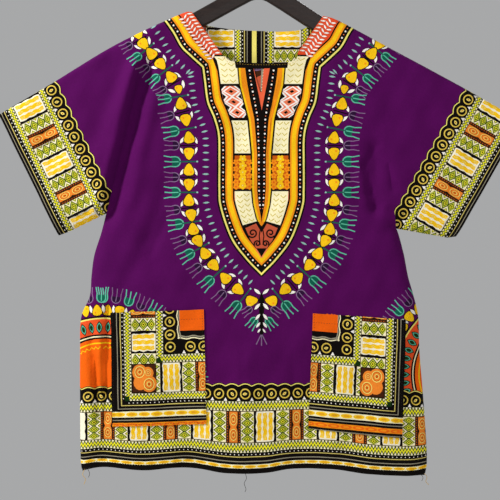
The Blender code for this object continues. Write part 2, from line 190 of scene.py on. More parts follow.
def halfDepth(flat, panel):
    # fullness, less a bell curve across each crease, plus the slow waves, all times the quarter circles of
    # the fold at the top and of the side
    x, d = flat[:, 0], flat[:, 1]
    table = np.array(form["fullness"])
    full = np.interp(d, table[:, 0], table[:, 1 if panel == "front" else 2])
    beyond = (np.abs(x) - form["sleeveStarts"]) / form["sleeveStarts"]
    full = full * (1 - form["sleeveFlatter"] * np.clip(beyond, 0, 1))
    for x0, d0, x1, d1, width, depth in creases[panel]:
        full = full - depth * np.exp(-(distanceTo([(x0, d0), (x1, d1)], x, d) / width) ** 2)
    full = np.maximum(full, form["leastDepth"])
    turn = 0.0 if panel == "front" else 1.7
    for across, down, size, phase in waves:
        full = full + size * np.sin(2 * np.pi * (x / across + d / down) + phase + turn)
    fromSide = np.where(x < 0, distanceTo(seams[True], x, d), distanceTo(seams[False], x, d))
    belowTop = d - np.interp(x, upper[:, 0], upper[:, 1])
    return full * rounded(belowTop / form["shoulderNose"]) * rounded(fromSide / form["sideNose"])


def onPanel(flat, panel):  # (x, drop) to the middle of the cloth's wall, in mm
    depth = halfDepth(flat, panel)
    return np.stack([flat[:, 0], -depth if panel == "front" else depth, -flat[:, 1]], 1)


def rowSag(x, d):  # how much lower a printed row hangs: nothing in the middle, the table's sag at the sides
    sag, sides = np.array(form["sag"]).T, np.array(form["sides"]).T
    edge = np.where(x < 0, np.interp(d, sides[0], -sides[1]), np.interp(d, sides[0], sides[2]))
    share = np.clip((np.abs(x) - form["sagStarts"]) / (edge - form["sagStarts"]), 0, 1.1)
    return share * np.where(x < 0, np.interp(d, sag[0], sag[1]), np.interp(d, sag[0], sag[2]))


print("form ready:", len(creases["front"]) + len(creases["back"]), "creases")


# Drawing in the flat: a shape is an array of (x, drop) points.
def oval(centre, across, along, turn=0.0, count=12):  # cosine and sine of an even run of angles, turned
    angle = np.linspace(0, 2 * np.pi, count, endpoint=False)
    shape = np.stack([across * np.cos(angle), along * np.sin(angle)], 1)
    return turned(shape, turn) + np.array(centre)


def turned(shape, degrees):  # each point times the matrix of a turn in the flat
    c, s = np.cos(np.radians(degrees)), np.sin(np.radians(degrees))
    return np.asarray(shape, float) @ np.array([[c, s], [-s, c]])


def leaf(centre, width, length, turn=0.0, count=5):  # two parabolas that meet in a point at each end
    t = np.linspace(-1, 1, count)
    side = (1 - t ** 2) * width / 2
    shape = np.concatenate([np.stack([side, t * length / 2], 1),
                            np.stack([-side, t * length / 2], 1)[-2:0:-1]])
    return turned(shape, turn) + np.array(centre)


def spaced(path, gap, start=0.0):  # points and unit headings at equal gaps of length along a path
    steps = np.linalg.norm(np.diff(path, axis=0), axis=1)
    length = np.concatenate([[0], np.cumsum(steps)])
    at = np.arange(start, length[-1], gap)
    point = np.stack([np.interp(at, length, path[:, k]) for k in (0, 1)], 1)
    ahead = np.stack([np.interp(at + 2, length, path[:, k]) for k in (0, 1)], 1)
    behind = np.stack([np.interp(at - 2, length, path[:, k]) for k in (0, 1)], 1)
    heading = ahead - behind
    return point, heading / np.linalg.norm(heading, axis=1, keepdims=True)


def ribbon(path, width):  # a strip of this width along a path
    p = np.asarray(path, float)
    heading = np.gradient(p, axis=0)
    heading /= np.linalg.norm(heading, axis=1, keepdims=True) + 1e-9
    side = np.stack([-heading[:, 1], heading[:, 0]], 1) * np.reshape(width, (-1, 1)) / 2
    return np.concatenate([p + side, (p - side)[::-1]])


def moved(path, distance):  # a path moved sideways: each point along its own normal
    heading = np.gradient(path, axis=0)
    heading /= np.linalg.norm(heading, axis=1, keepdims=True) + 1e-9
    return path + np.stack([-heading[:, 1], heading[:, 0]], 1) * distance


def setAt(shape, origin, heading):  # local (across, along) onto a point with a heading
    across = np.array([-heading[1], heading[0]])
    return origin + np.outer(shape[:, 0], across) + np.outer(shape[:, 1], heading)


def flipped(shape):  # the same shape with x turned round
    return shape * np.array([-1, 1])


inks = {
    "purple": "#530653", "night": "#0D0806", "orange": "#F79318", "deepOrange": "#EF6A12",
    "yellow": "#FCC716", "pale": "#F4E474", "coral": "#E94E28", "salmon": "#F27F58", "cream": "#FFF4C4",
    "straw": "#D9C56A", "lime": "#C6CC3E", "acid": "#F2EA32", "green": "#15330C", "teal": "#0F5E4A",
    "mint": "#5FBE9E", "sage": "#93BFB4", "white": "#FFF8F0", "hotOrange": "#F5640E", "red": "#EC5526",
    "brown": "#42210F", "mauve": "#84688A", "grey": "#9A927C", "rust": "#CC5C10", "dusk": "#2A0F33",
    "brick": "#C4573A", "amber": "#F0862C", "ringGold": "#E2C250", "slitCoral": "#EC6440",
    "sunYellow": "#E8A21C", "whiteCream": "#FBF3D6",
}


# The placket print and its ring of flowers.
placket = {
    "centre": 1.0, "shoulderEnds": 5,  # the row of the outline where the run along the shoulder ends
    # half outline of the printed placket: distance from its centre, drop
    "outline": [(185, 128), (170, 152.8), (154, 176), (140, 200.8), (124, 217), (103, 236), (99.5, 262),
                (94.5, 297), (83, 325), (75.5, 355), (74.7, 400), (74.7, 449), (72, 480), (53, 534),
                (27, 570), (0, 598)],
    # nested bands by their distance in from the outline
    "bands": [(-3, "night"), (0, "pale"), (3.1, "night"), (12.2, "orange"), (15.2, "yellow"),
              (22.4, "orange"), (25, "night"), (27.6, "coral")],
    "beadsIn": 8.0, "beadGap": 6.4, "stretch": (216, 520),
    # half widths of the inner bands: drop, panel edge, orange outer, orange inner, bead column
    "inner": [(216, 43.5, 41, 31, 24), (250, 40.5, 38.5, 27, 20), (267, 39, 37, 24.5, 17.5),
              (297, 31.5, 29, 19, 11.5), (326, 24.5, 21.5, 12.5, 6.5), (387, 18.5, 15.8, 7.8, 4.6),
              (449, 18.2, 15.8, 7.6, 4.4), (475, 15.6, 13.4, 5.2, 3), (499, 9.8, 7.6, 0.8, 0.8),
              (507, 6.3, 4.2, 0, 0), (514, 3.4, 0, 0, 0), (520, 0, 0, 0, 0)],
    # panels beside the slit: kind, top, bottom, how much lower the outer end hangs
    "panels": [("cream", 217, 265, 0), ("diamonds", 269, 324, 0), ("cream", 329, 386, 0),
               ("mosaic", 390, 448, 0), ("cream", 452, 504, 7)],
    "tipStarts": 512, "spirals": [(15.5, 524.5, 8.5, 1), (7, 543, 6, -1)],  # x, drop, radius, way round
    "ticksOut": 22, "tickGap": 12.4,
    # the ring of flowers: each row is a petal's distance from the centre, drop
    "flowers": [(215, 178), (205, 196), (192.5, 211), (175, 231), (158, 252), (144, 275), (140, 299),
                (131.5, 328.5), (126, 358), (126, 387), (126, 414), (126, 441), (126, 467), (122, 494),
                (118.5, 517), (110, 539), (98.5, 559), (82.5, 581), (63.5, 602), (40, 623), (16.5, 642)],
    # leaf pairs down the tail: drop, size, turn in degrees
    "tail": [(626, 1.0, 50), (652, 1.0, -42), (670, 0.9, -38), (684, 0.8, -36), (694, 0.6, -34)],
}


def mirroredPath(half):  # a half outline that ends on the centre line, and its mirror image, closed
    cut = half[half[:, 0] > 0]
    crossing = np.array([[0.0, cut[-1, 1]]])
    if len(cut) < len(half):
        a, b = cut[-1], half[len(cut)]
        crossing = np.array([[0.0, a[1] + (b[1] - a[1]) * a[0] / (a[0] - b[0] + 1e-9)]])
    full = np.concatenate([cut, crossing, flipped(cut)[::-1]])
    return full + np.array([placket["centre"], 0])


def outlineIn(distance):  # the half outline moved inwards, with its corner kept sharp
    points, corner = placket["outline"], placket["shoulderEnds"]
    path = np.concatenate([smooth(points[:corner + 1], 5)[:-1], smooth(points[corner:], 5)])
    return moved(path, distance)


def both(art, ink, shape):  # paints a shape on both sides of the centre line
    centre = np.array([placket["centre"], 0])
    art.append((ink, shape + centre))
    art.append((ink, flipped(shape) + centre))


# reach and half width in mm; for each kind the ink of the web and of the prongs, share filled, line width
fork = {"reach": 29, "half": 8.6, "green": ("teal", "mint", 0.5, 1.9), "plum": ("dusk", "mauve", 0.42, 1.5)}


def drawFork(art, origin, heading, size, green):  # three prongs: a half circle, its two arms, one between
    reach, half = fork["reach"] * size, fork["half"] * size
    fill, line, deep, width = fork["green" if green else "plum"]
    t = np.linspace(-np.pi / 2, np.pi / 2, 7)
    bend = np.stack([half * np.sin(t), half * (1 - np.cos(t))], 1)
    arm = np.array([[half - 0.6, reach * 0.6], [half + 1.5 * size, reach]])
    head = np.concatenate([flipped(arm)[::-1], bend, arm])
    middle = np.array([[0, 3 * size], [0.4, reach * 0.6], [-0.6, reach * 0.95]])
    web = np.concatenate([bend, [[half - 1, reach * deep], [-half + 1, reach * deep]]])
    art.append((fill, setAt(web, origin, heading)))
    for path in (head, middle):
        art.append((line, setAt(ribbon(path, width), origin, heading)))


def drawPetal(art, origin, heading, size):  # a rounded triangle with its point back along the heading
    shape = np.array([(0, -10), (3.6, -7.5), (7.2, -1), (9, 4.5), (6.6, 8.8), (1.5, 10), (-4, 9.6),
                      (-8.4, 6.5), (-8.8, 2), (-6.4, -3), (-3.2, -8)]) * size
    art.append(("night", setAt(shape * 1.24, origin, heading)))
    art.append(("yellow", setAt(shape * 1.06, origin, heading)))
    art.append(("orange", setAt(shape * 0.2 + np.array([3.6, 4.4]) * size, origin, heading)))


def drawLeaf(art, origin, heading, offset, turn, size=1.0):  # a white leaf on a slightly larger black one
    for ink, width, length in (("night", 7.6, 17.5), ("white", 5.4, 14.8)):
        shape = turned(leaf((0, 0), width * size, length * size), turn) + offset
        art.append((ink, setAt(shape, origin, heading)))


def drawFlowers(art):  # petals in pairs point to point, four leaves at each joint, stems between pairs
    flowers = np.array(placket["flowers"], float)
    one = []
    count = len(flowers)
    for k in range(count - 1):
        a, b = flowers[k], flowers[k + 1]
        heading = (b - a) / np.linalg.norm(b - a)
        middle = (a + b) / 2
        outward = np.array([-heading[1], heading[0]])
        outward = outward if outward @ (middle - np.array([0, 380])) > 0 else -outward
        size = 1.0 if k > 5 else 0.85
        if (count - 1 - k) % 2 == 0:
            drawFork(one, middle + outward * 17, outward, size * 0.92, False)
            for u, v, turn in ((-1, -1, 24), (-1, 1, -24), (1, -1, -36), (1, 1, 36)):
                across = u * 11.5 if outward @ np.array([-heading[1], heading[0]]) > 0 else -u * 11.5
                tilt = turn if across * u > 0 else -turn
                drawLeaf(one, middle, heading, np.array([across, v * 9.5]), tilt)
            one.append(("night", ribbon(np.array([middle - outward * 11, middle + outward * 16]), 2.2)))
        else:
            drawFork(one, middle + outward * 15, outward, size, True)
            stem = np.array([middle - outward * 14, middle + outward * 16])
            one.append(("teal", ribbon(stem, 2.3)))
            one.append(("sage", oval(middle - outward * 14.5, 1.7, 1.7, count=8)))
    for k in range(count):
        near = flowers[min(count - 1, k + 1)] if (count - 1 - k) % 2 or k == 0 else flowers[k - 1]
        heading = flowers[k] - near
        if k == count - 1:
            heading = np.array([1.0, 0.15])
        narrow = 0.72 if k == 5 else 1.0  # two petals crowd together at the shoulder's corner
        drawPetal(one, flowers[k], heading / np.linalg.norm(heading), narrow)
    for ink, shape in one:
        both(art, ink, shape)


def drawTip(art):  # the tail of leaf pairs below the ring of flowers
    down = np.array([0.0, 1.0])
    middle = placket["centre"]
    both(art, "night", np.array([(0, 628), (5, 640), (3, 706), (0, 708)]))
    one = []
    drawFork(one, np.array([17.0, 654.0]), np.array([0.83, 0.56]), 0.72, False)
    drawFork(one, np.array([9.0, 672.0]), np.array([0.6, 0.8]), 0.78, True)
    for ink, shape in one:
        both(art, ink, shape)
    for drop, size, turn in placket["tail"]:
        for u in (-1, 1):
            drawLeaf(art, np.array([middle, drop]), down, np.array((u * 7.4 * size, 0)), u * turn, size)
    for degrees in (-26, 0, 26):
        line = turned(np.array([(0, 2), (0, 21)]), degrees) + np.array([middle, 699])
        art.append(("mauve", ribbon(line, 1.7)))


innerEdge = np.array(placket["inner"], float)
outerEdge = outlineIn(placket["bands"][-1][0])
outerEdge = outerEdge[outerEdge[:, 0] > 0]
outerEdge = outerEdge[np.argsort(outerEdge[:, 1])]


def pointAt(p, drop):  # p runs from the inner edge, 0, to the outer edge, 1, at this drop
    inside = np.interp(drop, innerEdge[:, 0], innerEdge[:, 1])
    outside = np.interp(drop, outerEdge[:, 1], outerEdge[:, 0])
    return np.stack([inside + np.asarray(p) * (outside - inside), drop + 0 * np.asarray(p)], -1)


def stripAt(p0, p1, top, bottom, slant=0.0):  # a strip between two shares p, its outer edge slanting down
    downs = np.linspace(top, bottom, 9)
    tilt = slant * np.linspace(0, 1, 9)
    return np.concatenate([pointAt(np.full(9, p0), downs), pointAt(np.full(9, p1), downs + tilt)[::-1]])


def drawCream(art, top, bottom, slant):  # even rows of two small vees
    both(art, "cream", stripAt(0.02, 0.98, top, bottom, slant))
    tall, rows = bottom - top, int((bottom - top) // 8.2)
    for row in range(rows):
        for column in (0.3, 0.7):
            drop = top + (row + 0.55) * tall / rows + slant * column
            vee = [pointAt(column + 0.16 * u, drop + 2 - 4.4 * abs(u)) for u in (-1, 0, 1)]
            both(art, "straw", ribbon(np.array(vee), 1.9))


def drawDiamonds(art, top, bottom, slant):  # half diamonds from both edges, whole ones between, by sixths
    both(art, "salmon", stripAt(0.02, 0.98, top, bottom, slant))
    step = (bottom - top) / 6
    for k in range(4):
        for p, q in ((0.02, 0.2), (0.98, 0.8)):
            drop = top + 2 * k * step
            for grow, ink in ((1.6, "white"), (1.0, "night")):
                low, high = max(top, drop - 5.5 * grow), min(bottom, drop + 5.5 * grow)
                point = pointAt(p + (q - p) * grow, drop)
                both(art, ink, np.array([pointAt(p, low), point, pointAt(p, high)]))
    for k in range(3):
        drop = top + (2 * k + 1) * step
        for grow, ink in ((1.12, "white"), (0.78, "salmon"), (0.3, "night")):
            low, high = max(top, drop - step * grow), min(bottom, drop + step * grow)
            both(art, ink, np.array([pointAt(0.5, low), pointAt(0.5 + 0.42 * grow, drop),
                                     pointAt(0.5, high), pointAt(0.5 - 0.42 * grow, drop)]))


def drawMosaic(art, top, bottom, slant):  # rows of three flowers, each five petals about an eye
    both(art, "rust", stripAt(0.02, 0.98, top, bottom, slant))
    tall = bottom - top
    for row in range(5):
        drop = top + (row + 0.5) * tall / 5
        for p in (0.1, 0.5, 0.9):
            centre = pointAt(p, drop + (tall / 10 if p != 0.5 else 0))
            centre[1] = min(centre[1], bottom - 4)
            wide, away, ink = (2.7, 4.2, "yellow") if p == 0.5 else (2.0, 3.4, "orange")
            for angle in range(0, 360, 72):
                offset = turned(np.array([(0, away)]), angle + row * 20)[0]
                both(art, ink, oval(centre + offset, wide, wide * 1.2, angle, 7))
            both(art, "pale" if p == 0.5 else "deepOrange", oval(centre, 1.5, 1.5, 0, 6))


def drawTongue(art):  # the coral tip below the panels; a spiral's radius shrinks evenly as its angle grows
    lower = outerEdge[outerEdge[:, 1] > placket["tipStarts"]]
    tip = np.concatenate([[(0, 500)], [(9, 505)], [pointAt(1.0, float(placket["tipStarts"]))], lower])
    both(art, "night", np.concatenate([tip, [(0, outerEdge[-1, 1])]]))
    both(art, "brick", np.array([(0.0, 524), (9.5, 508), pointAt(0.9, 516.0), (19, 537), (9, 551),
                                 (0, 551)]))
    t = np.linspace(0, 1, 22)
    for x, drop, radius, way in placket["spirals"]:
        angle = way * t * 2 * np.pi * 1.35 + 0.6
        reach = radius * (1 - 0.82 * t)
        coil = np.stack([x + reach * np.cos(angle), drop + reach * np.sin(angle)], 1)
        both(art, "night", ribbon(coil, 2.7))
    both(art, "night", ribbon(np.array([(2.6, 520), (4, 530), (2.4, 545)]), 2.0))
    both(art, "night", np.array([(0, 551), (9, 551), (0, 566)]))
    both(art, "salmon", ribbon(np.array([(9.5, 552), (0.6, 567.5)]), 1.6))


def drawBeads(art, path, gap, start, large):  # large white beads and small salmon ones in turn
    spots, _ = spaced(path, gap, start)
    for number, centre in enumerate(spots[spots[:, 0] > 1.5]):
        ink, radius = ("salmon", 1.0) if number % 2 else ("white", large)
        both(art, ink, oval(centre, radius, radius, 0, 8))


def drawInnerBands(art):  # an orange band, a black middle with beads, and a coral point at the slit
    downs = np.linspace(*placket["stretch"], 60)
    outer, middle, beads = [np.interp(downs, innerEdge[:, 0], innerEdge[:, k]) for k in (2, 3, 4)]
    for half, ink in ((outer, "orange"), (middle, "night")):
        keep = half > 0.05
        side = np.stack([half[keep], downs[keep]], 1)
        art.append((ink, mirroredPath(np.concatenate([side, [[-0.1, side[-1, 1] + 3]]]))))
    side = np.stack([outer - 1.2, downs], 1)[outer > 4]
    both(art, "yellow", ribbon(side, 3.2))
    art.append(("slitCoral", np.array([(-13, 238), (15.5, 238), (1.4, 311)])))
    drawBeads(art, np.stack([beads, downs], 1)[(downs > 240) & (downs < 486)], 6.2, 0.0, 1.7)


def drawPanels(art):  # the panels in order, then the tip and the bands about the slit
    draw = {"cream": drawCream, "diamonds": drawDiamonds, "mosaic": drawMosaic}
    both(art, "night", stripAt(-0.3, 1.02, 214, 512))
    for kind, top, bottom, slant in placket["panels"]:
        draw[kind](art, top, bottom, slant)
    drawTongue(art)
    drawInnerBands(art)


def drawThinLeaf(art, where, outward, turn):  # a slender white leaf on its brick edge
    for ink, width, length in (("brick", 5.2, 12.5), ("white", 2.7, 9.8)):
        art.append((ink, setAt(turned(leaf((0, 0), width, length), turn), where, outward)))


def drawNeckBand(art):  # slender leaves in a herringbone, at even steps along the neck and out from it
    neck = form["frontNeck"]
    for sign, ends in ((-1, neck[:2]), (1, neck[:-3:-1])):
        spots, headings = spaced(smooth(ends, 3), 7.0, 2)
        for spot, heading in zip(spots, headings):
            outward = np.array([heading[1], -heading[0]])
            outward = outward if outward[0] * sign > 0 else -outward
            for away, turn in ((5, 30), (14, -30), (22, 30)):
                drawThinLeaf(art, spot + outward * away, outward, turn * sign)


def drawBackYoke(art):  # rows of the same leaves fill the print between the back neck and the two panels
    neck = smooth(form["backNeck"], 4)
    for row, away in enumerate((8, 20, 32, 44)):
        spots, headings = spaced(neck, 7.0, 2 + row)
        for spot, heading in zip(spots, headings):
            below = np.array([-heading[1], heading[0]])
            below = below if below[1] > 0 else -below
            where, turn = spot + below * away, 30 if row % 2 else -30
            if abs(where[0] - placket["centre"]) < 128 - away:
                drawThinLeaf(art, where, below, turn)


def drawPlacket(art, panel):  # bands from the outside in, beads, panels, neck, ticks, flowers and tail
    for distance, ink in placket["bands"]:
        art.append((ink, mirroredPath(outlineIn(distance))))
    drawBeads(art, outlineIn(placket["beadsIn"]), placket["beadGap"], 8, 1.6)
    drawPanels(art)
    drawNeckBand(art)
    if panel == "front":
        art.append(("night", np.array([(-46, 224), (-44, 237.5), (46, 237.5), (48, 224)])))
    else:
        drawBackYoke(art)
    path = outlineIn(-placket["ticksOut"])
    spots, headings = spaced(path, placket["tickGap"], 6)
    for spotAt, heading in zip(spots, headings):
        if spotAt[0] > 2:
            out = np.array([heading[1], -heading[0]])
            both(art, "sage", setAt(leaf((0, 0), 3.4, 12, 0, 4), spotAt, out))
    drawFlowers(art)
    drawTip(art)


# The round motif that the side seams cut through.
suns = {
    "centres": [(-274, 803), (363, 771)], "coveredFrom": 812.0,
    "forksAt": 158, "petalsAt": 145, "leavesAt": 147, "greenLeavesAt": 115, "zigzag": (78.0, 82.0),
    # rings from the outside in: radius, ink
    "rings": [(134, "night"), (131.5, "pale"), (129, "red"), (103, "night"), (100, "cream"), (98, "night"),
              (95, "hotOrange"), (89, "yellow"), (86.5, "hotOrange")],
}


def drawSun(art, centre):  # each ray's motif sits at its reach from the centre, on an even run of angles
    centre = np.array(centre, float)

    def ray(degrees):
        return turned(np.array([(0.0, -1.0)]), degrees)[0]

    def hidden(heading, reach):  # under the border print
        return centre[1] + heading[1] * reach > suns["coveredFrom"]

    for number, degrees in enumerate(np.arange(0, 360, 7.8)):
        heading = ray(degrees)
        if not hidden(heading, suns["forksAt"]):
            drawFork(art, centre + heading * suns["forksAt"], heading, 0.92, number % 2 == 0)
    for number, degrees in enumerate(np.arange(3, 360, 8.4)):
        heading, beside = ray(degrees), ray(degrees + 4.2)
        if not hidden(heading, suns["petalsAt"]):
            drawPetal(art, centre + heading * suns["petalsAt"], heading * (1 if number % 2 else -1), 0.9)
            drawLeaf(art, centre + beside * suns["leavesAt"], beside, np.array([0.0, 0.0]), 8)
    for radius, ink in suns["rings"]:
        art.append((ink, oval(centre, radius, radius, 0, 90)))
    for degrees in np.arange(4, 360, 7.2):
        heading, reach = ray(degrees), suns["greenLeavesAt"]
        if not hidden(heading, reach):
            for grow, ink in ((1.3, "night"), (1.0, "mint"), (0.72, "green")):
                shape = leaf((0, 0), 8.4 * grow, 17 * grow)
                art.append((ink, setAt(shape, centre + heading * reach, heading)))
    angle = np.radians(np.arange(0, 360, 3.0))
    swing = np.where(np.arange(len(angle)) % 2 == 0, *suns["zigzag"])
    path = centre + np.stack([np.sin(angle) * swing, -np.cos(angle) * swing], 1)
    art.append(("yellow", ribbon(path, 1.8)))


# The border print, drawn in its own run (along) and depth (across).
border = {
    "ringGap": 22.8, "ringRadius": 8.3, "eyeTurns": (10, 50, -40, 80, -10), "zigGap": 5.8,
    "blocks": [("yellow", 33), ("thin", 3.2), ("diamond", 22), ("bar", 5.3), ("medallion", 15.4),
               ("bar", 5.3), ("diamond", 22), ("thin", 3.2)],
    # depth of the ring band, the first zigzag, the blocks and the second zigzag, then the plain rows below
    "hem": ((26, 16.5, 54, 16.5),
            [("night", 6), ("straw", 1.5), ("night", 6.2), ("grey", 1.5), ("night", 3.8), ("dashes", 8),
             ("night", 25)]),
    "cuff": ((23, 10.5, 52, 10.5),
             [("night", 6), ("straw", 1.3), ("night", 4.4), ("grey", 1.1), ("night", 4.6), ("pale", 2.8)]),
    "neck": ((24, 12, 49, 11),
             [("night", 5), ("straw", 1.5), ("night", 3.5), ("grey", 1.2), ("night", 7.8), ("pale", 4)]),
    "side": ((25, 12, 44, 12),
             [("night", 5.2), ("straw", 1.5), ("night", 4.5), ("grey", 1.4), ("night", 9.2)]),
    "base": ((26, 14, 52, 13),
             [("night", 7), ("straw", 1.5), ("night", 4.4), ("grey", 1.4), ("night", 3.2), ("dashes", 12),
              ("night", 3.2), ("grey", 1.4), ("night", 3.2), ("orangeDashes", 10.4), ("night", 3.4),
              ("grey", 1.4), ("night", 3.0), ("dashes", 13.4)]),
    # nested shapes in a block: size, ink
    "diamond": [(1.16, "green"), (0.86, "lime"), (0.6, "green"), (0.4, "acid"), (0.2, "night")],
    "medallion": [(6.3, "pale"), (5.5, "rust"), (4.4, "amber"), (2.8, "pale"), (2.1, "rust")],
    "dashes": ("cream", "yellow", "sunYellow"), "orangeDashes": ("orange", "deepOrange", "orange"),
    "dashLong": 21.5,
}


def rowEdges(kind):  # where each row of this border starts, and where the last ends
    deep, tail = border[kind]
    return np.cumsum([0, *deep, *[row[1] for row in tail]])


def drawScallops(lay, start, end, phase):  # the edge: the size of a sine along the run, in three layers
    along = np.arange(start, end + 1, 2.85)
    edge = np.stack([along, 1.0 - 4.2 * np.abs(np.sin(np.pi * (along - phase) / border["ringGap"]))], 1)
    lay("night", np.concatenate([edge - [0, 2.0], [[end, 6], [start, 6]]]))
    lay("pale", ribbon(edge, 1.6))
    lay("night", np.concatenate([edge + [0, 2.0], [[end, 9], [start, 9]]]))


def drawRings(lay, start, end, phase, deep):  # a plain ring with an eye per scallop, a wedge between rings
    gap, radius = border["ringGap"], border["ringRadius"]
    for number in range(int((start - phase) // gap) - 1, int((end - phase) // gap) + 2):
        centre = np.array([phase + (number + 0.5) * gap, deep * 0.52])
        if start + radius < centre[0] < end - radius + 4:
            lay("ringGold", oval(centre, radius + 0.7, radius + 0.7, 0, 18))
            lay("night", oval(centre, radius - 1.4, radius - 1.4, 0, 16))
            turn = border["eyeTurns"][number % 5]
            lay("pale", turned(leaf((0, 0.6), 4.6, 8.4), turn) + centre)
            lay("rust", turned(leaf((0, 0.6), 1.8, 4.4), turn) + centre)
        wedge = np.array([(0, -4.8), (-3.2, 1), (3.2, 1)]) + centre + [gap / 2, deep * 0.42]
        if start + 4 < wedge[0, 0] < end - 4:
            lay("white", wedge)


def drawZigzag(lay, left, right, low, high):  # a zigzag line by half gaps, with cream wedges in its teeth
    tall, middle, zig = high - low, (low + high) / 2, border["zigGap"]
    along = np.arange(left, right + 0.1, zig / 2)
    swing = np.where(np.arange(len(along)) % 2 == 0, -0.19, 0.19) * tall
    path = np.stack([along, middle + swing], 1)
    lay("acid", np.concatenate([path - [0, 0.14 * tall], path[::-1] + [0, 0.14 * tall]]))
    for sign, shift in ((-1, 0.0), (1, zig / 2)):
        for tooth in np.arange(left + zig / 2 + shift, right - 1, zig):
            wedge = np.array([(-2.1, 0.47), (2.1, 0.47), (0, 0.14)]) * [1, sign * tall]
            lay("cream", wedge + [tooth, middle])


def drawDashes(lay, left, right, low, high, tones):  # blocks end to end, each with two nested ovals
    ground, ring, eye = tones
    for first in np.arange(left, right, border["dashLong"]):
        last = min(first + border["dashLong"], right)
        lay(ground, [(first, low + 0.8), (last, low + 0.8), (last, high - 0.8), (first, high - 0.8)])
        where = ((first + last) / 2, (low + high) / 2)
        lay(ring, oval(where, 10.3, (high - low) * 0.33, 0, 14))
        lay(eye, oval(where, 5.6, (high - low) * 0.16, 0, 10))


def drawBorder(art, place, kind, startAt, endAt, phase=0.0):
    # place maps arrays of (along, across) to the cloth; startAt and endAt give a row's ends at an across
    edges = rowEdges(kind)
    start, end = float(startAt(0.0)), float(endAt(0.0))

    def lay(ink, shape):
        art.append((ink, place(np.asarray(shape, float))))

    def run(low, high, ink):  # a plain row
        count = max(2, int((end - start) / 5))
        top = np.stack([np.linspace(startAt(low), endAt(low), count), np.full(count, low)], 1)
        bottom = np.stack([np.linspace(startAt(high), endAt(high), count), np.full(count, high)], 1)
        lay(ink, np.concatenate([top, bottom[::-1]]))

    drawScallops(lay, start, end, phase)
    run(6, edges[1], "night")
    drawRings(lay, start, end, phase, edges[1])
    for low, high in ((edges[1], edges[2]), (edges[3], edges[4])):
        run(low, high, "green")
        middle = (low + high) / 2
        drawZigzag(lay, float(startAt(middle)), float(endAt(middle)), low, high)
    run(edges[2], edges[3], "brown")
    drawBlocks(lay, startAt, endAt, phase, edges[2], edges[3])
    for (ink, _), low, high in zip(border[kind][1], edges[4:-1], edges[5:]):
        if ink in border:
            run(low, high, "night")
            left, right = float(startAt(low)), float(endAt(high))
            drawDashes(lay, left, right, low, high, border[ink])
        else:
            run(low, high, ink)
    for bead in np.arange(float(startAt(edges[4])) + 3, float(endAt(edges[4])), 7.4):
        lay("white", oval((bead, (edges[4] + edges[5]) / 2), 0.95, 0.95, 0, 6))


def waisted(centre, half, downs, low, high):  # a shape with this half width at each down, kept in the block
    right = np.stack([np.clip(centre + half, low, high), downs], 1)
    left = np.stack([np.clip(centre - half, low, high), downs], 1)
    return np.concatenate([right, left[::-1]])


def drawStripes(lay, centre, width, low, high, top, bottom):  # cream with lobed sides, three wavy stripes
    tall, downs = bottom - top, np.linspace(top + 1, bottom - 1, 19)
    lump = 1.7 * np.abs(np.sin((downs - top) / tall * np.pi * 3))
    lay("whiteCream", waisted(centre, width / 2 - 2.4 + lump, downs, low, high))
    if high - low < width - 0.5:
        return
    for stripe in (-9.8, 0, 9.8):
        path = np.stack([centre + stripe + 0.8 * np.sin(downs * 0.5 + stripe), downs], 1)
        lay("yellow", ribbon(path[1:-1], 6.6))
        for step in range(3):
            where = (centre + stripe, top + tall * (step + 0.5) / 3)
            lay("pale", leaf(where, 3.0, tall * 0.16))
            lay("orange", leaf(where, 1.1, tall * 0.1))


def drawColumn(lay, centre, width, low, high, top, bottom):  # nested diamonds, with wedges between them
    half, count = width / 2 - 0.8, round((bottom - top) / 13.8)
    step = (bottom - top) / count
    for k in range(count):
        for grow, ink in border["diamond"]:
            diamond = np.array([(-half, 0), (0, -step * 0.56), (half, 0), (0, step * 0.56)])
            diamond = diamond * grow + [centre, top + (k + 0.5) * step]
            diamond = np.clip(diamond, [low, top + 0.5], [high, bottom - 0.5])
            if np.ptp(diamond[:, 0]) > 2:
                lay(ink, diamond)
    if high - low < width - 0.5:
        return
    for k in range(1, count):
        for sign in (-1, 1):
            for grow, ink in ((1.0, "green"), (0.62, "acid")):
                wedge = np.array([(0, -0.27), (-0.42, 0), (0, 0.27)]) * [sign * half, step] * grow
                lay(ink, wedge + [centre + sign * (half + 0.4), top + k * step])


def drawMedallions(lay, centre, width, low, high, top, bottom):  # two tall ovals in rings, pinched between
    tall, middle = bottom - top, (top + bottom) / 2
    downs = np.linspace(top + 1, bottom - 1, 15)
    pinch = 2.2 * np.exp(-((downs - middle) / 3.5) ** 2)
    lay("amber", waisted(centre, width / 2 - 0.7 - pinch, downs, low, high))
    if high - low < width - 0.5:
        return
    for across in (top + tall * 0.26, top + tall * 0.74):
        for reach, ink in border["medallion"]:
            lay(ink, oval((centre, across), reach, reach * 1.6, 0, 12))


def drawBeadBar(lay, centre, width, low, high, top, bottom):  # one column of beads at even steps
    for across in np.arange(top + 3, bottom - 2, 4.4):
        lay("rust", oval(((low + high) / 2, across), 1.0, 1.0, 0, 5))


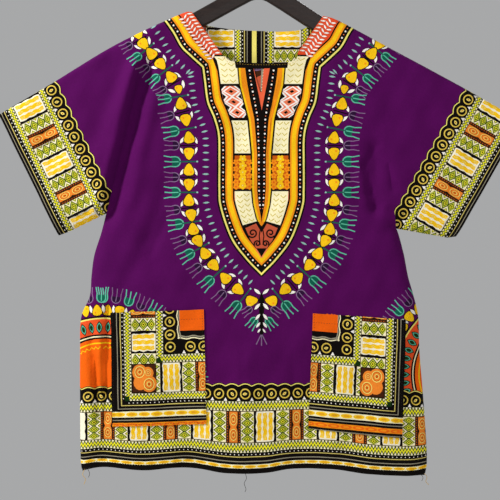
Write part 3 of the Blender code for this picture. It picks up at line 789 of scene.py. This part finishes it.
def drawBlocks(lay, startAt, endAt, phase, top, bottom):
    # blocks of fixed widths repeat from well before the start; one that is cut by an end is drawn plainer
    ground = {"diamond": "cream", "bar": "brown"}
    draw = {"yellow": drawStripes, "diamond": drawColumn, "medallion": drawMedallions, "bar": drawBeadBar}
    middle = (top + bottom) / 2
    start, end = float(startAt(middle)), float(endAt(middle))
    total = sum(width for _, width in border["blocks"])
    at = phase - border["blocks"][0][1] / 2 - total * 5
    while at < end:
        for kind, width in border["blocks"]:
            low, high = max(at, start), min(at + width, end)
            centre = at + width / 2
            at += width
            if high - low < 2:
                continue
            lay(ground.get(kind, "night"), [(low, top + 1), (high, top + 1), (high, bottom - 1),
                                            (low, bottom - 1)])
            if kind in draw:
                draw[kind](lay, centre, width, low, high, top, bottom)


# From a drawing to cloth.
# the rim's share is painted shade: each cut edge takes this much of its face's colour
cloth = {"wall": 0.9, "grid": 6.0, "smallGrid": 5.0, "wrongSide": 0.72, "rimShade": 0.5,
         "colours": {name: toLinear(value) for name, value in inks.items()}}


def signedArea(shape):  # half the sum of the cross products of neighbouring points
    x, d = shape.T
    return (x * np.roll(d, -1) - d * np.roll(x, -1)).sum() / 2


def cutSheet(outline, art, gap, extra=()):
    # joins outline, drawing and an even grid into triangles; each takes the ink of the last shape over it
    low, high = outline.min(0), outline.max(0)
    shapes = [("purple", outline)]
    for ink, shape in art:
        shape = np.round(np.asarray(shape, float), 3)
        if (shape.max(0) > low).all() and (shape.min(0) < high).all() and abs(signedArea(shape)) > 0.05:
            shapes.append((ink, shape))
    # the triangulation fills only shapes that run anticlockwise
    points = [shape if signedArea(shape) > 0 else shape[::-1] for _, shape in shapes]
    ends = np.cumsum([len(shape) for shape in points])
    faces = [list(range(end - len(shape), end)) for end, shape in zip(ends, points)]
    across, down = np.meshgrid(*[np.arange(low[k], high[k], gap) for k in (0, 1)])
    points += [np.stack([across.ravel(), down.ravel()], 1) + gap / 2] + list(extra)
    flat = np.concatenate(points)
    made = delaunay_2d_cdt([Vector(p) for p in flat.tolist()], [], faces, 1, 1e-4, True)
    spots, _, cut, _, _, sources = made
    vertices = np.array([tuple(v) for v in spots])
    triangles = np.array([face for face, some in zip(cut, sources) if some])
    within = [some for some in sources if some]
    owners = np.concatenate(within)
    starts = np.cumsum([0] + [len(some) for some in within[:-1]])
    first = np.minimum.reduceat(owners, starts)
    last = np.maximum.reduceat(owners, starts)
    names = np.array([ink for ink, _ in shapes])[last]
    keep = (first == 0) & (names != "hole")
    used, index = np.unique(triangles[keep], return_inverse=True)
    return vertices[used], index.reshape(-1, 3), names[keep]


def pointNormals(points, faces, lean=(0.0, 0.0, 0.0)):
    # each point's normal is the area-weighted mean of its triangles', with a little lean added so that
    # a point held only by slivers still faces outwards
    a, b, c = (points[faces[:, k]] for k in range(3))
    own = np.cross(b - a, c - a)
    total = np.stack([np.bincount(faces.ravel(), np.repeat(own[:, k], 3), len(points))
                      for k in range(3)], 1)
    total += np.array(lean)
    return total / (np.linalg.norm(total, axis=1, keepdims=True) + 1e-12)


def sewn(name, points, faces, names, front=None, shift=0.0):
    # a thin wall about these points: both layers and a rim along each free edge; the wrong side is paler,
    # and the rim is darkened as painted shade
    normals = pointNormals(points, faces)
    if front is not None:
        faces = faces[:, ::-1] if (normals @ np.array(front)).mean() < 0 else faces
        normals = pointNormals(points, faces, 0.05 * np.array(front))
        if shift:  # nothing laid on a panel turns far from it
            normals[normals @ np.array(front) < 0.75] = front
    count = len(points)
    edges = np.concatenate([faces[:, [0, 1]], faces[:, [1, 2]], faces[:, [2, 0]]])
    free = ~np.isin(edges[:, 0] * count + edges[:, 1], edges[:, 1] * count + edges[:, 0])
    a, b = edges[free].T
    owner = np.tile(np.arange(len(faces)), 3)[free]
    rims = np.concatenate([np.stack([b, a, a + count], 1), np.stack([b, a + count, b + count], 1)])
    allFaces = np.concatenate([faces, faces[:, ::-1] + count, rims])
    allPoints = np.concatenate([points + normals * (shift + cloth["wall"] / 2),
                                points + normals * (shift - cloth["wall"] / 2)]) * mm
    mesh = bpy.data.meshes.new(name)
    mesh.from_pydata(allPoints.tolist(), [], allFaces.tolist())
    dyed = np.array([cloth["colours"][ink] for ink in names])
    reverse = dyed * cloth["wrongSide"] + 0.03
    # the rim takes half its face's colour: painted shade along the cut edge
    colour = np.concatenate([dyed, reverse, dyed[owner] * cloth["rimShade"], dyed[owner] * cloth["rimShade"]])
    corner = np.ones((len(allFaces), 3, 4), np.float32)
    corner[..., :3] = colour[:, None, :]
    mesh.color_attributes.new("print", "FLOAT_COLOR", "CORNER").data.foreach_set("color", corner.ravel())
    mesh.shade_smooth()
    mesh.normals_split_custom_set_from_vertices(np.concatenate([normals, -normals]).tolist())
    print(name, len(allFaces), "triangles")
    return placed(name, mesh)


def besideFolds(lines):  # rows of points close to a fold, where the cloth turns fastest
    rows = []
    for line in lines:
        path = np.asarray(line, float)
        for away in (0.12, 0.5, 1.2, 2.4, 4.0):
            for sign in (-1, 1):
                rows.append(moved(path, sign * away))
    return rows


def finishCloth(piece, node):
    piece.data.materials.append(cottonPrint)
    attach(piece, "root")
    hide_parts(node)


def makeCotton():  # woven cotton, wax printed: dull, a little fuzzy at the edges, dye a little uneven
    made, tree, shader = newMaterial("waxPrintedCotton")
    place = node(tree, "TexCoord").outputs["Object"]
    dye = node(tree, "VertexColor", {"layer_name": "print"})
    broad = node(tree, "TexNoise", Vector=place, Scale=14.0, Detail=3.0)
    fine = node(tree, "TexNoise", Vector=place, Scale=420.0, Detail=2.0)  # 2 mm, where ink took unevenly
    tone = node(tree, "MapRange", Value=broad.outputs["Fac"], i3=0.9, i4=1.1)
    speck = node(tree, "MapRange", Value=fine.outputs["Fac"], i3=0.86, i4=1.14)
    uneven = node(tree, "Math", {"operation": "MULTIPLY"}, i0=tone.outputs["Result"],
                  i1=speck.outputs["Result"])
    colour = node(tree, "VectorMath", {"operation": "SCALE"}, Vector=dye.outputs["Color"],
                  Scale=uneven.outputs[0])
    tree.links.new(colour.outputs["Vector"], shader.inputs["Base Color"])
    # threads are 0.4 mm apart; drawn at 1.1 mm so that the weave shows
    warp = node(tree, "TexWave", {"bands_direction": "X"}, Vector=place, Scale=290.0, Distortion=0.6)
    weft = node(tree, "TexWave", {"bands_direction": "Z"}, Vector=place, Scale=290.0, Distortion=0.6)
    weave = node(tree, "Math", {"operation": "ADD"}, i0=warp.outputs["Fac"], i1=weft.outputs["Fac"])
    slub = node(tree, "TexNoise", Vector=place, Scale=160.0, Detail=3.0)
    height = node(tree, "Math", {"operation": "MULTIPLY_ADD"}, i0=slub.outputs["Fac"], i1=2.0,
                  i2=weave.outputs[0])
    finishSurface(tree, shader, height.outputs[0], (0.35, 0.0004), slub.outputs["Fac"], (0.72, 0.92))
    shader.inputs["Sheen Weight"].default_value = 0.012
    shader.inputs["Sheen Roughness"].default_value = 0.5
    shader.inputs["Specular IOR Level"].default_value = 0.06
    return made


cottonPrint = makeCotton()


def topAt(x):  # the drop of the fold along shoulder and sleeve
    return np.interp(x, upper[:, 0], upper[:, 1])


hemPrint = {"top": 789.0, "phase": 7.0, "starts": -330.0, "ends": 310.0, "level": 937.0, "deep": 148.0}


# the slit below the neck, and the turned-back facing that shows in it, with painted shadow below its fold
# and its dotted strip painted in shade
slit = {
    "hole": [(-12, 238), (5, 238), (2.6, 262), (1.5, 279), (-1.5, 279), (-8, 258)],
    "facing": [(-17, 231), (12, 231), (9, 262), (4, 292), (-4, 292), (-13, 262)], "facingLift": -1.7,
    # mauve: the rolled edge; brown: painted shadow under it; grey: the dotted strip painted in shade
    "folds": [("mauve", [(-16, 232), (4, 232), (2, 242), (-13, 246)]),
              ("brown", [(-14, 243), (3, 240), (0, 250), (-9, 254)]),
              ("grey", [(1, 234), (9, 234), (4, 282), (-1, 276)])],
}


def panelOutline(panel):  # along the top, round the neck, down one side, along the hem and up the other
    neck = form["frontNeck" if panel == "front" else "backNeck"]
    (leftX, _), leftUnder = form["armholeLeft"]
    (rightX, _), rightUnder = form["armholeRight"]
    leftTop, rightTop = (leftX, topAt(leftX)), (rightX, topAt(rightX))
    longer = form["backHemLonger"] if panel == "back" else 0.0
    hem = hemLine + [0, longer]
    (hemLeft, endLeft), (hemRight, endRight) = form["hemCorners"]
    rightSide, leftSide = sideSeam(False), sideSeam(True)
    rightSide = rightSide[rightSide[:, 1] < endRight]
    leftSide = leftSide[leftSide[:, 1] < endLeft]
    hem = hem[(hem[:, 0] > hemLeft) & (hem[:, 0] < hemRight)]
    parts = [[leftTop], upperLeft[upperLeft[:, 0] > leftX + 1][:-1], smooth(neck, 4)[:-1],
             upperRight[upperRight[:, 0] < rightX - 1], straight([rightTop, rightUnder])[:-1], rightSide,
             hem[::-1], leftSide[::-1][:-1], straight([leftUnder, leftTop])[:-1]]
    return np.concatenate(parts)


def onHem(points):  # border coordinates to the cloth: the last rows follow the hem's own wave
    along, across = points[:, 0], points[:, 1]
    drop, share = hemPrint["top"] + across, across / hemPrint["deep"]
    bend = (np.interp(along, hemLine[:, 0], hemLine[:, 1]) - hemPrint["level"]) * np.clip(share, 0, 1.2)
    return np.stack([along, drop + rowSag(along, drop) * (1 - np.clip(share, 0, 1)) + bend], 1)


def makeBody(panel):  # suns, placket and border drawn flat, cut to the outline and laid on the form
    art = []
    for centre in suns["centres"]:
        drawSun(art, centre)
    drawPlacket(art, panel)
    drawBorder(art, onHem, "hem", lambda a: hemPrint["starts"], lambda a: hemPrint["ends"],
               hemPrint["phase"])
    if panel == "front":
        art.append(("hole", np.array(slit["hole"])))
    outline = panelOutline(panel)
    folds = [seams[True][2:], seams[False][2:], upperLeft[upperLeft[:, 0] > -191],
             upperRight[upperRight[:, 0] < 194]]
    flat, faces, names = cutSheet(outline, art, cloth["grid"], besideFolds(folds))
    outward = (0, -1 if panel == "front" else 1, 0)
    piece = sewn(panel + "_cloth", onPanel(flat, panel), faces, names, outward)
    finishCloth(piece, panel + "_panel")


for panel in ("front", "back"):
    makeBody(panel)


# where the cuff print's run starts, how far it goes past the cuff, how much of it turns in, its phases
sleeves = {"starts": -30.0, "past": 40.0, "turnsIn": 3.5, "phaseLeft": 15.0, "phaseRight": 4.0}


def makeSleeve(left):
    # one flat drawing laid on the front and on the back of the form, then joined where they meet at folds
    side = "left" if left else "right"
    armTop, underarm = form["armholeLeft" if left else "armholeRight"]
    armTop = (armTop[0], topAt(armTop[0]))
    cuffTop = upper[0] if left else upper[-1]
    corner, bend = form["underLeft" if left else "underRight"]
    fold = upper[upper[:, 0] < armTop[0] - 1][::-1] if left else upper[upper[:, 0] > armTop[0] + 1]
    below = straight([corner, bend, underarm])
    outline = np.concatenate([[armTop], fold[:-1], straight([cuffTop, corner])[:-1], below[:-1],
                              straight([underarm, armTop])[:-1]])
    run = np.array(corner, float) - cuffTop
    length = np.linalg.norm(run)
    run = run / length
    outward = np.array([-run[1], run[0]]) if left else np.array([run[1], -run[0]])
    edges = rowEdges("cuff")

    def onCuff(points):  # along runs down the cuff's edge, across runs out to it
        out = points[:, 1] - edges[-1] + sleeves["turnsIn"]
        return cuffTop + np.outer(points[:, 0], run) + np.outer(out, outward)

    art = []
    drawFlowers(art)
    drawBorder(art, onCuff, "cuff", lambda a: sleeves["starts"], lambda a: length + sleeves["past"],
               sleeves["phase" + side.title()])
    flat, faces, names = cutSheet(outline, art, cloth["grid"], besideFolds([fold, below]))
    front, back = onPanel(flat, "front"), onPanel(flat, "back")
    x, d = flat.T
    onFold = (np.abs(d - topAt(x)) < 0.05) | (distanceTo(below, x, d) < 0.05)
    front[onFold, 1] = 0.0
    back[onFold, 1] = 0.0
    points = np.concatenate([front, back])
    faces = np.concatenate([faces, faces[:, ::-1] + len(flat)])
    _, first, index = np.unique(np.round(points, 4), axis=0, return_index=True, return_inverse=True)
    points, faces, names = points[first], index.reshape(-1)[faces], np.concatenate([names, names])
    whole = (faces != np.roll(faces, 1, axis=1)).all(axis=1)
    faces, names = faces[whole], names[whole]
    _, single, copies = np.unique(np.sort(faces, axis=1), axis=0, return_index=True, return_counts=True)
    faces, names = faces[single[copies == 1]], names[single[copies == 1]]
    normals = pointNormals(points, faces)
    if (normals[:, 1] * points[:, 1]).sum() < 0:
        faces = faces[:, ::-1]
    piece = sewn("sleeve_" + side + "_cloth", points, faces, names)
    finishCloth(piece, "sleeve_" + side)


for left in (True, False):
    makeSleeve(left)


pockets = {
    # corners in order: outer top, inner top, inner bottom, outer bottom; inner corner of the border
    "left": ([(-260, 663), (-99, 657), (-94.5, 856), (-258, 860.5)], (-144.5, 708.0)),
    "right": ([(250.5, 675), (90, 663.5), (82.5, 864.5), (244.5, 880)], (136, 712.0)),
    "lift": 2.1, "runStarts": -80.0, "basePhase": 12.0, "sidePhase": 4.0,
    # edge lines of the plain corner: ink, depth, width
    "lines": [("grey", 0.0, 2.2), ("cream", 3.4, 1.8)],
    # rings of the corner block's medallions: share of the radius, ink
    "rings": [(1.0, "pale"), (0.86, "rust"), (0.7, "amber"), (0.42, "pale"), (0.3, "rust")],
}


def makePocket(side):
    # two borders drawn from the inner corner, one down the side and one along the base, meeting in a mitre
    corners, inner = pockets[side]
    outline = straight(corners + corners[:1], 4)[:-1]
    a, b, c, e = (np.array(p, float) for p in corners)
    rightward = (a - b) / np.linalg.norm(a - b) + (e - c) / np.linalg.norm(e - c)
    rightward /= np.linalg.norm(rightward)  # from the inner side to the outer side
    downward = (c - b) / np.linalg.norm(c - b) + (e - a) / np.linalg.norm(e - a)
    downward /= np.linalg.norm(downward)
    inner = np.array(inner)

    def onSide(points):  # along runs down, across runs out
        return inner + np.outer(points[:, 0], downward) + np.outer(points[:, 1], rightward)

    def onBase(points):  # along runs out, across runs down
        return inner + np.outer(points[:, 0], rightward) + np.outer(points[:, 1], downward)

    outEdges, downEdges = rowEdges("side"), rowEdges("base")
    count = len(outEdges)
    art = [("night", outline.copy())]
    drawBorder(art, onBase, "base", lambda s: pockets["runStarts"],
               lambda s: np.interp(s, downEdges[:count], outEdges), pockets["basePhase"])
    drawBorder(art, onSide, "side", lambda s: pockets["runStarts"],
               lambda s: np.interp(s, outEdges, downEdges[:count]), pockets["sidePhase"])
    # plain orange corner by the hand's opening, with its wavy grey and cream lines
    box = np.array([(-4, -60), (-60, -60), (-60, -14), (-4, -14)])
    art.append(("night", onBase(np.array([(2, -70), (-70, -70), (-70, 2), (2, 2)]))))
    line = np.stack([np.linspace(-70, 0, 15), 1.2 * np.sin(np.arange(15) * 1.3) - 4.0], 1)
    for place in (onBase, onSide):
        for ink, deep, width in pockets["lines"]:
            art.append((ink, place(ribbon(line + [0, deep], width))))
    art.append(("hotOrange", onBase(box)))
    ring = (outEdges[1] * 0.52, downEdges[1] * 0.52)
    for reach, ink in ((9.0, "ringGold"), (6.9, "night"), (2.4, "pale")):
        art.append((ink, onBase(oval(ring, reach, reach, 0, 16))))
    # corner block where the rows turn: three joined medallions and a brown beaded angle
    low = np.array([outEdges[2], downEdges[2]]) + 1
    high = np.array([outEdges[3], downEdges[3]]) - 1
    middle, half = (low + high) / 2, (high - low) / 2
    block = np.array([low, (high[0], low[1]), high, (low[0], high[1])])
    art.append(("night", onBase(block)))
    art.append(("brown", onBase(block * 0.94 + middle * 0.06)))
    for u, v, reach in ((0.36, -0.4, 13), (-0.4, 0.4, 13), (-0.3, -0.34, 10), (0.3, 0.3, 12)):
        art.append(("amber", onBase(oval(middle + half * [u, v], reach, reach * 1.1, 0, 14))))
    for u, v, reach in ((0.36, -0.42, 9), (-0.4, 0.42, 9), (-0.34, -0.36, 5)):
        for grow, ink in pockets["rings"]:
            shape = oval(middle + half * [u, v], reach * grow, reach * 1.15 * grow, 0, 12)
            art.append((ink, onBase(shape)))
    flat, faces, names = cutSheet(outline, art, cloth["smallGrid"])
    piece = sewn("pocket_" + side + "_cloth", onPanel(flat, "front"), faces, names, (0, -1, 0),
                 pockets["lift"])
    finishCloth(piece, "pocket_" + side)


for side in ("left", "right"):
    makePocket(side)


facing = {
    "left": -96.0, "right": 91.0, "deep": 74.0, "lift": 1.5,
    "centre": -11.5, "starts": 130.0, "ends": 260.0, "firstBlock": 182.0,
}


def makeFacing():  # the back neck's curve and the same curve moved down, with a border from each side
    top = smooth(form["backNeck"], 4)
    top = top[(top[:, 0] >= facing["left"]) & (top[:, 0] <= facing["right"])]
    bottom = top[::-1] + [0, facing["deep"]]
    outline = np.concatenate([top, straight([top[-1], bottom[0]])[1:-1], bottom,
                              straight([bottom[-1], top[0]])[1:-1]])
    art = []
    deep = rowEdges("neck")[-1]

    def turnedRows(sign):  # the border print on end: its run goes down and its rows run to the middle
        return lambda points: np.stack([facing["centre"] + sign * (deep - points[:, 1]), points[:, 0]], 1)

    for sign in (-1, 1):
        drawBorder(art, turnedRows(sign), "neck", lambda a: facing["starts"], lambda a: facing["ends"],
                   facing["firstBlock"])
    flat, faces, names = cutSheet(outline, art, cloth["smallGrid"])
    piece = sewn("neck_facing_cloth", onPanel(flat, "back"), faces, names, (0, -1, 0), facing["lift"])
    finishCloth(piece, "neck_facing")


makeFacing()


def makeSlitFacing():  # the turned-back fold and the dotted selvedge seen through the slit; the brown below the fold is painted shadow, the grey selvedge is painted shade
    outline = straight(slit["facing"] + slit["facing"][:1], 3)[:-1]
    # the brown and grey folds are painted shadow and painted shade on the facing
    art = [("brick", outline.copy())] + [(ink, np.array(shape)) for ink, shape in slit["folds"]]
    for step in range(8):
        art.append(("cream", oval((4.8 - step * 0.5, 240 + step * 5.2), 1.1, 1.1, 0, 6)))
    flat, faces, names = cutSheet(outline, art, 4.0)
    piece = sewn("slit_facing_cloth", onPanel(flat, "front"), faces, names, (0, -1, 0), slit["facingLift"])
    piece.data.materials.append(cottonPrint)
    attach(piece, "root")


makeSlitFacing()


# how far rows of stitches lie in from an edge, and how far the thread stands off its cloth
thread = {
    "stitch": 3.0, "gap": 1.6, "wide": 0.7, "high": 0.45, "stands": 0.5,
    "fromPocketEdge": 3.0, "fromPocketMouth": 16.0, "fromFrontHem": 9, "fromBackHem": 4, "fromNeck": 3.2,
    "fromCuff": 12.0, "hemEnds": (-308, 284), "colours": {"black": "#1B1613", "gold": "#D9A92A"},
}


def makeThread(name, colour):  # spun polyester sewing thread: smooth and a little shiny, faint twist
    made, tree, shader = newMaterial(name)
    place = node(tree, "TexCoord").outputs["Object"]
    twist = node(tree, "TexNoise", Vector=place, Scale=1500.0)
    shade = node(tree, "MapRange", Value=twist.outputs["Fac"], i3=0.8, i4=1.15)
    tone = node(tree, "VectorMath", {"operation": "SCALE"}, i0=tuple(toLinear(colour)),
                Scale=shade.outputs["Result"])
    tree.links.new(tone.outputs["Vector"], shader.inputs["Base Color"])
    shader.inputs["Roughness"].default_value = 0.5
    return made


threads = {tone: makeThread(tone + "SewingThread", value) for tone, value in thread["colours"].items()}


def sewingPiece(name, points, faces, tone):  # thread of one tone, from points in mm
    mesh = bpy.data.meshes.new(name)
    mesh.from_pydata((points.reshape(-1, 3) * mm).tolist(), [], faces)
    mesh.materials.append(threads[tone])
    mesh.shade_smooth()
    piece = placed(name, mesh)
    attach(piece, "root")


def stitchRow(name, path, panel, lift, tone):
    # each stitch is a small six-pointed lozenge: two ends, two sides and a top and bottom
    spots, headings = spaced(straight(path, 2.0), thread["stitch"] + thread["gap"], 2.0)
    ends = [onPanel(spots + headings * way * thread["stitch"] / 2, panel) for way in (-1, 1)]
    middle = onPanel(spots, panel)
    outward = np.array([0, -1.0 if panel == "front" else 1.0, 0])
    along = ends[1] - ends[0]
    side = np.cross(along, outward)
    side *= thread["wide"] / 2 / (np.linalg.norm(side, axis=1, keepdims=True) + 1e-9)
    six = [ends[0], ends[1], middle + side, middle - side, middle + outward * thread["high"],
           middle - outward * thread["high"]]
    points = np.stack(six, 1) + outward * lift
    faces = np.array([(0, 2, 4), (2, 1, 4), (1, 3, 4), (3, 0, 4),
                      (2, 0, 5), (1, 2, 5), (3, 1, 5), (0, 3, 5)])
    if panel == "front":
        faces = faces[:, ::-1]
    allFaces = (np.arange(len(spots))[:, None, None] * 6 + faces).reshape(-1, 3)
    sewingPiece(name, points, allFaces.tolist(), tone)
    print(name, len(spots), "stitches")


def inset(path, away):  # a row of stitches this far to one side of an edge
    return moved(straight(path, 3.0), away)


onPocket = pockets["lift"] + thread["stands"]
for side in ("left", "right"):
    a, b, c, e = (np.array(p, float) for p in pockets[side][0])
    turn = 1 if side == "left" else -1
    for number, ends in enumerate(((b, c), (c, e), (e, a))):
        stitchRow(f"pocket_{side}_stitches_{number}", inset(ends, turn * thread["fromPocketEdge"]),
                  "front", onPocket, "black")
    stitchRow(f"pocket_{side}_hem_stitches", inset([a, b], turn * thread["fromPocketMouth"]),
              "front", onPocket, "black")
first, last = thread["hemEnds"]
hemStitch = hemLine[(hemLine[:, 0] > first) & (hemLine[:, 0] < last)]
for panel in ("front", "back"):
    stitchRow(panel + "_hem_stitches", hemStitch - [0, thread[f"from{panel.title()}Hem"]], panel,
              thread["stands"], "black")
for panel in ("front", "back"):
    stitchRow(panel + "_neck_stitches", moved(smooth(form[panel + "Neck"], 4), thread["fromNeck"]), panel,
              thread["stands"], "gold")
for side, top, low, turn in (("left", upper[0], form["underLeft"][0], -1),
                             ("right", upper[-1], form["underRight"][0], 1)):
    for panel in ("front", "back"):
        stitchRow(f"cuff_{side}_{panel}_stitches", inset([top, low], turn * thread["fromCuff"]), panel,
                  thread["stands"], "black")


# loose ends left at the hem: x and drop along each, and how far it stands off the front
looseEnds = {
    "left_long": [(-308, 936, 3), (-311, 946, 5), (-306, 954, 6), (-309, 963, 5)],
    "left_short": [(-303, 936, 2), (-299, 944, 5), (-301, 951, 4)],
    "middle": [(-28, 940, 15), (-25, 950, 17), (-29, 959, 16), (-26, 969, 17), (-28, 974, 16)],
    "right_short": [(278, 944, 3), (283, 951, 5), (281, 957, 4)],
    "right_long": [(284, 943, 2), (290, 950, 4), (288, 958, 5), (293, 964, 4)],
}


def looseThread(name, route, radius=0.4, sides=6):  # a round thread: a ring of points carried along a curve
    path = smooth([(x, -stand, -drop) for x, drop, stand in route], 2.0)
    heading = np.gradient(path, axis=0)
    heading /= np.linalg.norm(heading, axis=1, keepdims=True)
    side = np.cross(heading, [0.0, 1.0, 0.0])
    side /= np.linalg.norm(side, axis=1, keepdims=True)
    other = np.cross(heading, side)
    angle = np.linspace(0, 2 * np.pi, sides, endpoint=False)[None, :, None]
    rings = path[:, None] + radius * (np.cos(angle) * side[:, None] + np.sin(angle) * other[:, None])
    count = len(path)
    row, column = np.meshgrid(np.arange(count - 1), np.arange(sides), indexing="ij")
    a, b = row * sides + column, row * sides + (column + 1) % sides
    faces = np.stack([a, b, b + sides, a + sides], -1).reshape(-1, 4).tolist()
    faces += [list(range(sides))[::-1], [(count - 1) * sides + k for k in range(sides)]]
    sewingPiece(name, rings, faces, "gold" if "long" in name else "black")


for end, route in looseEnds.items():
    looseThread("loose_thread_" + end, route)
print("loose threads:", len(looseEnds))


def makeWood():  # beech stained dark and waxed: satin, long fine grain along the arm
    made, tree, shader = newMaterial("stainedBeech")
    place = node(tree, "TexCoord").outputs["Object"]
    long = node(tree, "Mapping", Vector=place, Scale=(6.0, 60.0, 60.0))
    grain = node(tree, "TexNoise", Vector=long.outputs["Vector"], Scale=5.0, Detail=6.0, Roughness=0.6)
    ramp = node(tree, "ValToRGB", Fac=grain.outputs["Fac"])
    ramp.color_ramp.elements[0].position, ramp.color_ramp.elements[1].position = 0.3, 0.75
    ramp.color_ramp.elements[0].color = (*toLinear("#180D09"), 1)
    ramp.color_ramp.elements[1].color = (*toLinear("#2C1E19"), 1)
    tree.links.new(ramp.outputs["Color"], shader.inputs["Base Color"])
    finishSurface(tree, shader, grain.outputs["Fac"], (0.2, 0.0005), grain.outputs["Fac"], (0.32, 0.5))
    shader.inputs["Coat Weight"].default_value = 0.06
    shader.inputs["Coat Roughness"].default_value = 0.3
    shader.inputs["Specular IOR Level"].default_value = 0.25
    return made


def makeSteel():  # drawn steel wire, bright plated: fine lines along it soften the gloss
    made, tree, shader = newMaterial("platedSteelWire")
    place = node(tree, "TexCoord").outputs["Object"]
    lines = node(tree, "TexNoise", Vector=place, Scale=900.0, Detail=3.0)
    finishSurface(tree, shader, lines.outputs["Fac"], (0.08, 0.0002), lines.outputs["Fac"], (0.18, 0.34))
    shader.inputs["Base Color"].default_value = (*toLinear("#C9C9CC"), 1)
    shader.inputs["Metallic"].default_value = 1.0
    return made


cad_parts["hanger_bar"].material_slots[0].material = makeWood()
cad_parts["hanger_hook"].material_slots[0].material = makeSteel()
print("hanger ready")


studio = {
    "floor": -1.30, "floorHalf": 1.0, "aim": (-0.019, 0.0, -0.554), "away": 2.0, "across": 0.875,
    "lit": (0, 0, -0.5), "world": 0.5,
    # name, place, power in watts, width
    "lights": [("key", (-1.9, -1.0, 0.75), 56, 0.45), ("fill", (0.5, -2.2, 0.2), 9, 1.4),
               ("rear", (0.6, 2.2, 0.8), 26, 1.4)],
}


def makeFloor():  # one matt square below the part
    h, z = studio["floorHalf"], studio["floor"]
    mesh = bpy.data.meshes.new("floor")
    mesh.from_pydata([(-h, -h, z), (h, -h, z), (h, h, z), (-h, h, z)], [], [(0, 1, 2, 3)])
    made, _, shader = newMaterial("mattPaperFloor")
    shader.inputs["Base Color"].default_value = (*toLinear("#D9D9D6"), 1)
    shader.inputs["Roughness"].default_value = 0.9
    mesh.materials.append(made)
    placed("floor", mesh)


def addLight(name, place, power, size):  # a round lamp turned so that it faces the part
    lamp = bpy.data.lights.new(name, "AREA")
    lamp.shape, lamp.size, lamp.energy = "DISK", size, power
    item = placed(name, lamp)
    item.location = place
    item.rotation_euler = (Vector(studio["lit"]) - Vector(place)).to_track_quat("-Z", "Y").to_euler()


makeFloor()
for light in studio["lights"]:
    addLight(*light)
world = bpy.data.worlds.new("studio")
world.use_nodes = True
backdrop = world.node_tree.nodes["Background"]
backdrop.inputs["Color"].default_value = (*toLinear("#E4E5E6"), 1)
backdrop.inputs["Strength"].default_value = studio["world"]
bpy.context.scene.world = world

# the lens takes in this many metres across at the part
camera = bpy.data.cameras.new("camera")
camera.sensor_width = 36.0
camera.lens = camera.sensor_width * studio["away"] / studio["across"]
viewer = placed("camera", camera)
aimX, aimY, aimZ = studio["aim"]
viewer.location = (aimX, aimY - studio["away"], aimZ)
viewer.rotation_euler = (np.pi / 2, 0, 0)
bpy.context.scene.camera = viewer
print("studio ready")
bpy.context.scene.view_settings.view_transform = "Standard"  # dyes keep their own strength
